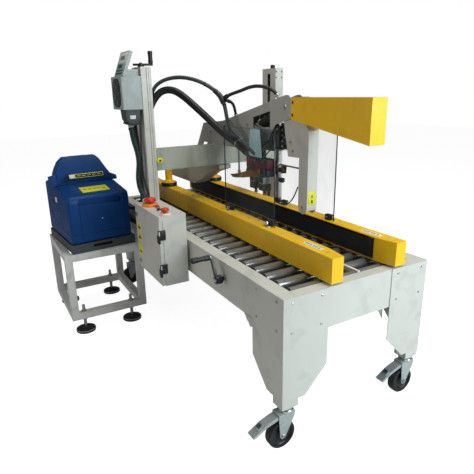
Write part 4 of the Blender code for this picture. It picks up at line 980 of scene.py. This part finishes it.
def build_beam_details():
    """Bolts and sensor tags on the lifting beam, and what lies in the window."""
    beam = Piece("beam_details", "head", "yellow_paint")
    for z in (0.964, 1.04):
        for y in (0.018, BED_WIDTH - 0.018):
            beam.add(screw_head((-1.1402, y, z), INFEED, 0.0062, 0.005, "hex"), "zinc")
    tag = [(-0.006, 1.012), (0.02, 1.012), (0.024, 0.998), (0.014, 0.986), (-0.006, 0.986), (-0.01, 0.998)]
    beam.add(prism(tag, -1.14, -1.1285, "x", 0.0016), "label")
    beam.add(screw_head((-1.1285, 0.006, 1.0), INFEED, 0.0055, 0.004), "black")
    for y in (0.3, 0.348):
        beam.add(screw_head((-1.1402, y, 1.001), INFEED, 0.005, 0.003), "zinc")
    beam.made()

    plates = Piece("plate_details", "head", "steel")
    for x, z in ((-0.523, 1.2745), (-0.841, 1.179), (-1.25, 1.12), (-0.88, 1.15), (-1.118, 1.15)):
        size = 0.0125 if x == -0.523 else 0.0062
        for y, way in ((0.372, NEAR), (0.44, FAR)):
            plates.add(
                screw_head((x, y, z), way, size, 0.004, "socket"), "chrome" if size > 0.01 else "zinc",
            )
    cylinder = Vector((-0.775, 0.406, 1.186)), Vector((-0.65, 0.406, 1.2255))
    plates.add(rod(*cylinder, 0.019, 32, 0.002), "black")
    way = (cylinder[1] - cylinder[0]).normalized()
    for share, radius in ((0.03, 0.0205), (0.9, 0.0205)):
        start = cylinder[0] + way * (share * 0.131)
        plates.add(rod(start, start + way * 0.01, radius, 32, 0.001), "zinc")
    plates.add(rod(cylinder[1], cylinder[1] + way * 0.02, 0.005, 20), "chrome")
    for offset, drop in ((0.0, 0.0), (0.01, 0.008)):
        start = (-0.752, 0.3665 - offset, 1.19 - drop)
        plates.add(rod(start, (-0.628, 0.3665 - offset, 1.156 - drop), 0.003, 16), "steel")
    plates.made()

    boom = Piece("boom_details", "head", "yellow_paint")
    for z in (1.292, 1.24):
        boom.add(screw_head((-0.4635, 0.369, z), NEAR, 0.006, 0.003), "black")
        boom.add(screw_head((-0.4635, 0.443, z), FAR, 0.006, 0.003), "black")
    boom.add(block((-0.468, 0.388, 1.313), (-0.418, 0.424, 1.3148), 0.0006), "black")
    boom.made()


def build_kicker_details():
    piece = Piece("kicker_details", "kicker", "yellow_paint")
    for x, z in ((-0.397, 0.845), (-0.488, 1.123), (-0.47, 1.085)):
        for y, way in ((0.379, NEAR), (0.433, FAR)):
            piece.add(screw_head((x, y, z), way, 0.0056, 0.0028, "socket"), "zinc")
    piece.add(block((-0.3622, 0.3855, 0.858), (-0.3612, 0.4265, 0.92), 0.0003), "label")
    mark = [(0.4015, 0.893), (0.4105, 0.893), (0.406, 0.907)]
    piece.add(prism(mark, -0.3613, -0.3608, "x", 0.0), "black")
    piece.add(block((-0.3613, 0.402, 0.868), (-0.3608, 0.41, 0.881), 0.0), "black")
    piece.made()


def build_mast_details():
    """The black valve block with its fittings and lines, the sensor knobs and the wire."""
    piece = Piece("valve_details", "head", "dark_plastic")
    piece.add(block((-0.653, 0.38, 1.081), (-0.573, 0.432, 1.189), 0.003, 3), "black")
    for z in (1.098, 1.122, 1.146, 1.17):
        piece.add(screw_head((-0.573, 0.393, z), INFEED, 0.0052, 0.0035, "hex"), "zinc")
        piece.add(rod((-0.573, 0.416, z), (-0.562, 0.416, z), 0.0048, 18), "green")
    for x in (-0.64, -0.613, -0.586):
        piece.add(rod((x, 0.38, 1.172), (x, 0.37, 1.172), 0.0052, 18), "zinc")
        piece.add(block((x - 0.009, 0.3765, 1.09), (x + 0.009, 0.3802, 1.152), 0.001), "dark")
    piece.add(block((-0.656, 0.3795, 1.0765), (-0.57, 0.4325, 1.0812), 0.0006), "zinc")
    for z, radius, reach in ((0.986, 0.0115, 0.027), (0.938, 0.012, 0.03)):
        knob = [
            (0, 0), (radius * 0.6, 0), (radius, 0.006), (radius, reach - 0.004), (radius * 0.7, reach),
            (0, reach),
        ]
        piece.add(lathe(knob, 28), "black", aimed((-0.5945, 0.398, z), INFEED))
    piece.add(block((-0.6235, 0.3905, 0.8265), (-0.5925, 0.4055, 0.85), 0.001), "black")
    piece.add(block((-0.6225, 0.3905, 1.0), (-0.5935, 0.4055, 1.018), 0.001), "zinc")
    lines = [(-0.62, 0.3765, 1.12), (-0.66, 0.368, 1.11), (-0.7, 0.36, 1.07), (-0.715, 0.36, 1.036)]
    piece.add(wire(lines, 0.0032), "black")
    lines = [(-0.6, 0.3765, 1.106), (-0.625, 0.365, 1.076), (-0.655, 0.362, 1.052), (-0.668, 0.362, 1.032)]
    piece.add(wire(lines, 0.0028), "conduit")
    hook = [
        (-0.628, 0.4, 0.822), (-0.585, 0.4, 0.8215), (-0.552, 0.4, 0.824), (-0.522, 0.4, 0.838),
        (-0.498, 0.4, 0.858), (-0.482, 0.4, 0.878), (-0.469, 0.4, 0.899), (-0.455, 0.4, 0.925),
    ]
    piece.add(wire(hook, 0.003), "dark")
    piece.made()


def build_glue_details():
    """Modules, heater caps, screws and fittings on the glue head."""
    # A black sheet on the inside of the far head plate, seen through the window: painted shade of the head's
    # inside.
    shade = Piece("window_painted_shade", "head", "dark_plastic")
    shade_outline = [(-0.925, 1.1), (-0.925, 1.212), (-0.63, 1.282), (-0.63, 1.15)]
    depth = 0.4335
    shade.add(prism(shade_outline, depth, depth + 0.002, "y", 0.0), "black")
    for x in (-0.846, -0.8):
        bar = [(x, 1.125), (x + 0.008, 1.125), (x + 0.034, 1.225), (x + 0.026, 1.225)]
        shade.add(prism(bar, depth - 0.004, depth - 0.0005, "y", 0.0004), "zinc")
    shade.made()

    piece = Piece("glue_modules", "head", "dark_plastic")
    for x in (-0.76, -0.68):
        piece.add(block((x - 0.0225, 0.3465, 0.908), (x + 0.0225, 0.3935, 0.946), 0.002, 3), "zinc")
        piece.add(block((x - 0.019, 0.344, 0.915), (x + 0.019, 0.3468, 0.94), 0.001), "dark")
        piece.add(rod((x, 0.37, 0.8515), (x, 0.37, 0.862), 0.0085, 6, 0.0008), "copper")
    piece.add(block((-0.7985, 0.337, 0.99), (-0.73, 0.3405, 1.026), 0.0012), "key_red")
    piece.add(block((-0.724, 0.337, 0.978), (-0.656, 0.3405, 1.02), 0.0012), "key_red")
    piece.add(block((-0.739, 0.337, 0.95), (-0.684, 0.3405, 0.972), 0.0012), "blue")
    piece.add(block((-0.6405, 0.345, 0.984), (-0.624, 0.395, 1.028), 0.002, 3), "key_red")
    piece.add(block((-0.6405, 0.35, 0.95), (-0.628, 0.39, 0.98), 0.002, 3), "dark")
    for x in (-0.786, -0.656):
        for z in (0.955, 1.018):
            piece.add(screw_head((x, 0.34, z), NEAR, 0.004, 0.003, "socket"), "zinc")
    for z in (1.15, 1.02):
        piece.add(screw_head((-0.7175, 0.3355, z), NEAR, 0.005, 0.003), "zinc")
    skirt = [(-0.768, 1.038), (-0.652, 1.038), (-0.66, 1.1), (-0.672, 1.1705), (-0.757, 1.1705)]
    piece.add(prism(skirt, 0.333, 0.3352, "y", 0.0004), "flap")
    piece.made()


def build_plough_details():
    for side, name, facing in ((-1, "near", NEAR), (1, "far", FAR)):
        piece = Piece(f"plough_details_{name}", "head", "steel")
        y = CENTRE_Y + side * 0.026
        piece.add(rod((-0.945, y, 1.08), (-0.945, y, 1.104), 0.0095, 28, 0.001), "zinc")
        piece.add(screw_head((-0.945, y + side * 0.0095, 1.092), facing, 0.004, 0.006, "hex"), "black")
        piece.add(rod((-0.945, y, 0.925), (-0.945, y, 0.94), 0.008, 6, 0.0008), "zinc")
        piece.made()


# ---------------------------------------------------------------- rails and guards

def side_y(y, far):
    return 2 * CENTRE_Y - y if far else y


def side_block(low, high, far, rounding=0.0008):
    y = sorted((side_y(low[1], far), side_y(high[1], far)))
    return block((low[0], y[0], low[2]), (high[0], y[1], high[2]), rounding)


def build_rail_details(name, far, sheet_x):
    """The geared motor's base ring, printed tags, screws and the guard's clamps on a rail."""
    piece = Piece(f"rail_details_{name}", f"side_{name}", "dark_plastic")
    y = side_y(0.24, far)
    ring = [
        (0.0462, 0.0), (0.05, 0.001), (0.0505, 0.004), (0.0505, 0.02), (0.0495, 0.0235), (0.0462, 0.0245),
    ]
    piece.add(lathe(ring, 48, closed=True), "black", spot(-1.62, y, 0.7595))
    piece.add(
        lathe([(0.0232, 0.0), (0.03, 0.0), (0.03, 0.006), (0.0232, 0.01)], 40, closed=True), "yellow",
        spot(-1.62, y, 0.7882),
    )
    for angle in range(0, 360, 90):
        a = math.radians(angle + 45)
        piece.add(
            screw_head(
                (-1.62 + 0.037 * math.cos(a), y + 0.037 * math.sin(a), 0.788), UP, 0.0038, 0.0034,
                "socket",
            ),
            "zinc",
        )
    piece.add(screw_head((-1.62, y, 0.905), UP, 0.011, 0.0045, "dome"), "black")
    piece.add(side_block((-0.208, 0.238, 0.7588), (-0.1, 0.262, 0.7597), far, 0.0), "white_label")
    for x in (-0.196, -0.183, -0.168, -0.15, -0.136, -0.118):
        piece.add(side_block((x - 0.0035, 0.244, 0.7592), (x + 0.0035, 0.256, 0.76), far, 0.0), "dark")
    for x in (-0.06, -0.35, -1.1, -1.4, -1.88):
        piece.add(screw_head((x, y, 0.759), UP, 0.0042, 0.0022), "zinc")
    for x in (-0.3, -0.7, -1.1, -1.5, -1.9):
        piece.add(screw_head((x, side_y(0.213, far), 0.68), FAR if far else NEAR, 0.0042, 0.0022), "yellow")
    for x in (sheet_x[0] + 0.055, sheet_x[1] - 0.035):
        piece.add(side_block((x - 0.017, 0.2535, 0.7592), (x + 0.017, 0.2596, 0.786), far, 0.001), "black")
        piece.add(side_block((x - 0.017, 0.2654, 0.7592), (x + 0.017, 0.2715, 0.786), far, 0.001), "black")
        piece.add(side_block((x - 0.02, 0.24, 0.7592), (x + 0.02, 0.2535, 0.764), far, 0.001), "zinc")
        start, end = (x, side_y(0.247, far), 0.7745), (x, side_y(0.278, far), 0.7745)
        piece.add(rod(start, end, 0.004, 18), "zinc")
        piece.add(screw_head(start, FAR if far else NEAR, 0.009, 0.008, "hex"), "chrome")
    for x in sheet_x:
        piece.add(
            side_block((x - 0.001, 0.2597, 0.7594), (x + 0.001, 0.2653, 1.18), far, 0.0003), "sheet_edge",
        )
    piece.add(
        side_block((sheet_x[0], 0.2597, 1.1795), (sheet_x[1], 0.2653, 1.1808), far, 0.0003), "sheet_edge",
    )
    piece.made()


# ---------------------------------------------------------------- cabinet and controls

def build_buttons():
    """Mushroom emergency stops on their coloured bases, and the two small push buttons."""
    stops = (
        ("estop_main", "estop_main_cap", (-1.03, -0.1), 0.03, 0.011, 0.812, 0.834),
        ("estop_small", "estop_small_cap", (-0.815, -0.104), 0.02, 0.008, 0.808, 0.825),
    )
    for name, body, (x, y), cap, stem, low, high in stops:
        dome = high - low
        profile = [
            (0, 0.79 - 0.03), (stem, 0.76), (stem, low + 0.001), (cap * 0.86, low), (cap, low + dome * 0.12),
            (cap, low + dome * 0.42), (cap * 0.95, low + dome * 0.66), (cap * 0.8, low + dome * 0.86),
            (cap * 0.5, low + dome * 0.97), (0, high),
        ]
        piece = Piece(f"{name}_mushroom", body, "red_plastic")
        piece.add(lathe(profile, 48), "red", spot(x, y))
        piece.made(replaces=[name], angle=50.0)
    pushes = (
        ("reset_button", (-0.97, -0.084), 0.01, 0.006, 0.7965, 0.804, "red"),
        ("start_button", (-0.905, -0.101), 0.009, 0.0055, 0.7965, 0.803, "black"),
    )
    for name, (x, y), cap, stem, low, high, surface in pushes:
        profile = [
            (0, 0.76), (stem, 0.76), (stem, low), (cap, low), (cap, high - 0.002), (cap * 0.9, high - 0.0005),
            (cap * 0.8, high), (cap * 0.55, high - 0.0006), (0, high - 0.001),
        ]
        piece = Piece(f"{name}_cap", f"{name}_cap", "red_plastic")
        piece.add(lathe(profile, 36), surface, spot(x, y))
        piece.made(replaces=[name])
    bases = Piece("button_bases", "base", "dark_plastic")
    for (x, y), inner, outer, top, surface in (
        ((-1.03, -0.1), 0.012, 0.04, 0.804, "amber"), ((-0.815, -0.104), 0.009, 0.0255, 0.8, "ivory"),
        ((-0.97, -0.084), 0.007, 0.015, 0.7932, "zinc"), ((-0.905, -0.101), 0.0065, 0.014, 0.7932, "zinc"),
    ):
        ring = [
            (inner, 0.7902), (outer, 0.7902), (outer, top - 0.003), (outer * 0.93, top), (inner, top),
        ]
        bases.add(lathe(ring, 48, closed=True), surface, spot(x, y))
    bases.made()


def build_cabinet_details():
    fixed = Piece("cabinet_details", "base", "dark_plastic")
    for low, high in ((0.5265, 0.5545), (0.6965, 0.7245)):
        fixed.add(block((-0.7885, -0.157, low - 0.02), (-0.7835, -0.1185, high), 0.001), "black")
    fixed.add(block((-1.1386, -0.1475, 0.77), (-0.79, -0.144, 0.7904), 0.001), "body")
    for x, y in ((-1.125, -0.03), (-0.803, -0.03)):
        fixed.add(screw_head((x, y, 0.79), UP, 0.004, 0.0022, "socket"), "zinc")
    loom = [
        (-1.12, -0.06, 0.56), (-1.15, -0.04, 0.52), (-1.165, -0.02, 0.47), (-1.14, 0.02, 0.448),
        (-1.05, 0.09, 0.44), (-0.96, 0.15, 0.452), (-0.93, 0.2, 0.48),
    ]
    fixed.add(wire(loom, 0.0085, 0.01, 16), "black")
    fixed.made()

    door = Piece("door_details", "door", "yellow_paint")
    for low, high in ((0.652, 0.694), (0.596, 0.638), (0.52, 0.58)):
        door.add(block((-1.118, -0.148, low), (-1.062, -0.1468, high), 0.0003), "label")
        door.add(block((-1.11, -0.1484, low + 0.01), (-1.072, -0.1476, low + 0.02), 0.0), "black")
        if high - low < 0.05:
            middle = (low + high) / 2 + 0.004
            door.add(
                prism(
                    [(-1.1, middle - 0.004), (-1.084, middle - 0.004), (-1.092, middle + 0.01)], -0.1484,
                    -0.1476, "y", 0.0,
                ),
                "black",
            )
    door.add(rod((-1.112, -0.147, 0.735), (-1.112, -0.152, 0.735), 0.0115, 32, 0.0012), "zinc")
    door.add(block((-1.1135, -0.153, 0.728), (-1.1105, -0.1515, 0.742), 0.0003), "black")
    door.add(rod((-1.112, -0.147, 0.48), (-1.112, -0.152, 0.48), 0.0115, 32, 0.0012), "zinc")
    for low in (0.49, 0.66):
        door.add(block((-0.8125, -0.1535, low), (-0.7935, -0.1462, low + 0.0395), 0.0012), "black")
        door.add(rod((-0.788, -0.1505, low + 0.0005), (-0.788, -0.1505, low + 0.0395), 0.0062, 24), "black")
    door.made()


def build_control_details():
    """The keypad, the connector block's cover and label, and the tilted panel's plain print."""
    fixed = Piece("keypad_details", "base", "dark_plastic")
    fixed.add(block((-1.3165, -0.1635, 1.2625), (-1.1425, -0.156, 1.423), 0.004, 3), "box")
    oval = [
        (-1.2295 + 0.066 * math.copysign(abs(math.cos(a)) ** 0.62, math.cos(a)),
         1.343 + 0.07 * math.copysign(abs(math.sin(a)) ** 0.62, math.sin(a)))
        for a in np.linspace(0.0, 2 * math.pi, 40, endpoint=False)
    ]
    fixed.add(prism(oval, -0.1648, -0.1632, "y", 0.0005), "screen")
    for column, x in enumerate((-1.262, -1.2295, -1.197)):
        for line, z in enumerate((1.294, 1.318, 1.343, 1.368, 1.392)):
            surface = ("key_red", "key_grey", "green")[(column + line) % 3]
            fixed.add(screw_head((x, -0.1647, z), NEAR, 0.006, 0.0018), surface)
    for x in (-1.306, -1.153):
        for z in (1.273, 1.4125):
            fixed.add(screw_head((x, -0.1635, z), NEAR, 0.0036, 0.0016), "zinc")
    hood = [
        (-0.1505, 1.264), (-0.1455, 1.214), (-0.1285, 1.186), (-0.0915, 1.186), (-0.0775, 1.214),
        (-0.0735, 1.264),
    ]
    fixed.add(prism(hood, -1.2405, -1.1515, "x", 0.002, 3), "dark")
    fixed.add(block((-1.1518, -0.128, 1.217), (-1.1508, -0.1, 1.235), 0.0002), "white_label")
    fixed.add(block((-1.242, -0.141, 1.1905), (-1.15, -0.086, 1.1985), 0.002), "black")
    for shift, radius, surface in (
        (0.0, 0.0062, "green"), (0.012, 0.005, "black"), (-0.012, 0.0055, "screen"),
    ):
        sag = [
            (-1.215 + shift, -0.086, 1.19), (-1.222 + shift, -0.078, 1.11), (-1.228 + shift, -0.074, 1.01),
            (-1.226 + shift, -0.074, 0.92), (-1.2 + shift, -0.078, 0.85), (-1.165 + shift, -0.082, 0.812),
            (-1.137 + shift, -0.084, 0.796),
        ]
        fixed.add(wire(sag, radius, 0.008, 14), surface)
    fixed.made()

    panel = Piece("panel_details", "base", "dark_plastic")
    origin, top = Vector((0.0, -0.158, 1.4228)), Vector((0.0, -0.114, 1.539))
    up = (top - origin).normalized()
    out = Vector((0.0, -up.z, up.y))
    face = Matrix(((1, 0, 0, 0), (0, up.y, out.y, origin.y), (0, up.z, out.z, origin.z), (0, 0, 0, 1)))

    def printed(low, high, surface, proud=0.0008):
        panel.add(block((low[0], low[1], -0.0004), (high[0], high[1], proud), 0.0002), surface, face)

    printed((-1.2665, 0.002), (-1.1235, 0.122), "panel_green", 0.0006)
    printed((-1.26, 0.066), (-1.13, 0.118), "white_label", 0.001)
    printed((-1.232, 0.082), (-1.162, 0.102), "key_grey", 0.0014)
    printed((-1.242, 0.04), (-1.172, 0.06), "dark", 0.0012)
    for line in range(2):
        for column in range(3):
            x = -1.248 + column * 0.036
            printed(
                (x, 0.009 + line * 0.015), (x + 0.028, 0.018 + line * 0.015), ("green", "dark")[line],
                0.0016,
            )
    panel.made()


# ---------------------------------------------------------------- glue unit

TANK_TURN_ABOUT = Vector((-1.381, -0.27, 0.0))
TANK = (
    Matrix.Translation(TANK_TURN_ABOUT) @ Matrix.Rotation(math.radians(5), 4, "Z")
    @ Matrix.Translation(-TANK_TURN_ABOUT)
)
TANK_X, TANK_Y = (-1.85, -1.381), (-0.448, -0.1)


def build_tank():
    """The moulded housing and its hinged hood, with soft edges, panel lines and a grip slot."""
    (x0, x1), (y0, y1) = TANK_X, TANK_Y
    side = [
        (x0, 0.5403), (x1, 0.5403), (x1 + 0.002, 0.784), (x1 - 0.012, 0.81), (-1.59, 0.843),
        (x0 + 0.004, 0.843),
    ]
    slot = [
        (-0.392, 0.757), (-0.155, 0.753), (-0.15, 0.773), (-0.165, 0.789), (-0.38, 0.794), (-0.396, 0.777),
    ]
    cutters = [prism(slot, x1 - 0.016, x1 + 0.05, "x", 0.0)]
    for low, high in (
        ((x1 - 0.0022, -0.39, 0.57), (x1 + 0.02, -0.3876, 0.795)),
        ((x1 - 0.0022, -0.132, 0.57), (x1 + 0.02, -0.1296, 0.795)),
    ):
        cutters.append(block(low, high, 0.0))
    cutters.append(block((x1 - 0.0022, y0 - 0.02, 0.593), (x1 + 0.02, y1 + 0.02, 0.5952), 0.0))
    cutters.append(block((x0 + 0.1, y0 - 0.02, 0.593), (x1 + 0.02, y0 + 0.0022, 0.5952), 0.0))
    shell = boolean(prism(side, y0, y1, "y", 0.016, 5), cutters)
    piece = Piece("tank_shell", "base", "blue_plastic")
    piece.add(shell, "blue", TANK)
    piece.add(screw_head((x1, -0.266, 0.671), INFEED, 0.0036, 0.002), "white_label", TANK)
    for x, z, size in ((-1.695, 0.729, 0.02), (-1.56, 0.69, 0.014)):
        piece.add(screw_head((x, y0, z), NEAR, size, 0.004), "screen", TANK)
    for n in range(7):
        z = 0.63 + n * 0.012
        piece.add(block((-1.79, y0 - 0.0012, z), (-1.735, y0 + 0.002, z + 0.005), 0.0008), "screen", TANK)
    piece.add(block((-1.64, y0 - 0.0008, 0.745), (-1.6, y0 + 0.001, 0.775), 0.0003), "white_label", TANK)
    slope = spot(-1.47, -0.266, 0.8246) @ Matrix.Rotation(math.atan2(0.033, 0.197), 4, "Y")
    piece.add(block((-0.044, -0.078, -0.001), (0.04, 0.078, 0.0012), 0.0004), "label", TANK @ slope)
    for line in range(5):
        y = -0.062 + line * 0.026
        piece.add(block((-0.008, y, 0.001), (0.006, y + 0.019, 0.0016), 0.0), "olive", TANK @ slope)
    # The hose sockets at the back stand square to the machine.
    for points, length, radius in ((MELT_HOSE, 0.055, 0.0222), (AIR_HOSE, 0.045, 0.0142)):
        start = Vector(points[0])
        away = (start - Vector(smooth_route(points, 0.042)[1])).normalized()
        piece.add(rod(start + away * 0.0005, start + away * length, radius, 32, 0.002), "black")
    piece.made(replaces=["tank_housing"], angle=38.0)

    crown = [
        (-0.118, 0.884), (-0.132, 0.906), (-0.166, 0.972), (-0.185, 0.992), (-0.372, 0.992), (-0.402, 0.966),
        (-0.424, 0.925), (-0.433, 0.902),
    ]
    ears = [
        (-0.473, 0.844), (-0.083, 0.844), (-0.083, 0.868), (-0.118, 0.884), (-0.433, 0.902),
        (-0.473, 0.894),
    ]
    front = [(-0.44, 0.844), (-0.104, 0.844), *crown]
    rear = [
        (-0.39, 0.844), (-0.11, 0.844), (-0.122, 0.89), (-0.166, 0.958), (-0.19, 0.976), (-0.3, 0.976),
        (-0.34, 0.958), (-0.38, 0.905),
    ]
    wedge = [(-1.592, 0.845), (-1.54, 0.845), (-1.54, 1.02), (-1.662, 1.02)]
    hood = Piece("tank_hood", "lid", "blue_plastic")
    for outline, start, rounding in ((ears, -1.64, 0.006), (front, -1.7, 0.008)):
        sloped = boolean(prism(outline, start, -1.592, "x", 0.0), [prism(wedge, -0.6, 0.05, "y", 0.0)])
        hood.add(soften(sloped, rounding, 4, 15.0), "blue", TANK)
    hood.add(prism(rear, x0 + 0.004, -1.69, "x", 0.008, 4), "blue", TANK)
    lean = math.atan2(0.07, 0.17)
    tag = spot(-1.607, -0.262, 0.8845) @ Matrix.Rotation(-lean, 4, "Y")
    hood.add(block((-0.001, -0.1, -0.012), (0.0012, 0.1, 0.012), 0.0004), "label", TANK @ tag)
    hood.add(block((0.001, -0.066, -0.0095), (0.0016, 0.097, 0.009), 0.0), "screen", TANK @ tag)
    for line in range(5):
        y = -0.056 + line * 0.03
        hood.add(block((0.0014, y, -0.0012), (0.002, y + 0.022, 0.0012), 0.0), "label", TANK @ tag)
    hood.add(block((0.001, -0.097, -0.0095), (0.0016, -0.069, 0.0095), 0.0), "white_label", TANK @ tag)
    hood.made(replaces=["tank_lid"], angle=38.0)

    base = Piece("tank_base_details", "base", "dark_plastic")
    for x in (x0 + 0.035, x1 - 0.03):
        for y in (y0 + 0.03, y1 - 0.03):
            base.add(screw_head((x, y, 0.54), UP, 0.004, 0.0002), "zinc", TANK)
    base.add(block((x1 - 0.015, -0.335, 0.512), (x1 - 0.0145, -0.225, 0.53), 0.0), "black", TANK)
    base.made()


def build_stand_details():
    """Rubber-soled feet, threaded studs and lock nuts."""
    piece = Piece("stand_feet", "base", "steel")
    for x in (-1.84, -1.374):
        for y in (-0.43, -0.152):
            pad = [
                (0, FLOOR), (0.0545, FLOOR), (0.0556, FLOOR + 0.003), (0.0556, FLOOR + 0.0105),
                (0.053, FLOOR + 0.0148), (0.02, FLOOR + 0.0215), (0.015, FLOOR + 0.029),
                (0, FLOOR + 0.029),
            ]
            piece.add(lathe(pad, 48), "rubber", spot(x, y))
            piece.add(rod((x, y, FLOOR + 0.028), (x, y, 0.0955), 0.0085, 24), "steel")
            for n in range(13):
                z = FLOOR + 0.034 + n * 0.0035
                piece.add(
                    lathe([(0.008, z), (0.0091, z + 0.0008), (0.008, z + 0.0016)], 20, closed=True),
                    "steel", spot(x, y),
                )
            for z in (0.086, 0.1352):
                piece.add(rod((x, y, z), (x, y, z + 0.009), 0.0145, 6, 0.001), "zinc")
            piece.add(rod((x, y, 0.144), (x, y, 0.1758), 0.0085, 24), "steel")
    piece.made()


# ---------------------------------------------------------------- everything

LOOK = {
    "body": ("bed_frame", "leg_infeed_near", "leg_infeed_far", "leg_outfeed_near", "leg_outfeed_far",
             "column_near", "column_far", "cabinet_body", "cabinet_door", "kicker_arm"),
    "head": ("head_plate_near", "head_plate_far", "press_shoe"),
    "beam": ("cross_beam",),
    "box": ("control_box", "display_panel"),
    "stand": ("stand_frame",),
    "yellow": ("boom", "rail_near", "rail_far"),
    "dark": ("tank_base", "glue_head"),
    "belt": ("belt_near", "belt_far"),
    "silver": ("caster_fork_infeed_near", "caster_fork_infeed_far", "caster_fork_outfeed_near",
               "caster_fork_outfeed_far", "brake_pedal_infeed_near", "brake_pedal_infeed_far"),
    "steel": ("fold_mast", "drive_pulley_near", "drive_pulley_far", "idler_pulley_near",
              "idler_pulley_far", "lead_screw_far"),
    "copper": ("plough_near", "plough_far"),
    "clear": ("guard_near", "guard_far"),
    "lift_screw": ("lift_crank",),
    "width_screw": ("width_crank",),
}


def dress_nodes():
    for surface, names in LOOK.items():
        for name in names:
            for holder in NODES[name].material_slots:
                holder.material = SURFACES[surface].material


SURFACES = make_surfaces()
make_camera()
build_hoses()
make_studio()
dress_nodes()
build_hose_fittings()
build_rollers()
build_leg_details()
build_casters()
build_column_details()
build_grips()
build_beam_details()
build_kicker_details()
build_mast_details()
build_glue_details()
build_plough_details()
build_rail_details("near", False, (-0.885, -0.44))
build_rail_details("far", True, (-0.821, -0.376))
build_buttons()
build_cabinet_details()
build_control_details()
build_tank()
build_stand_details()
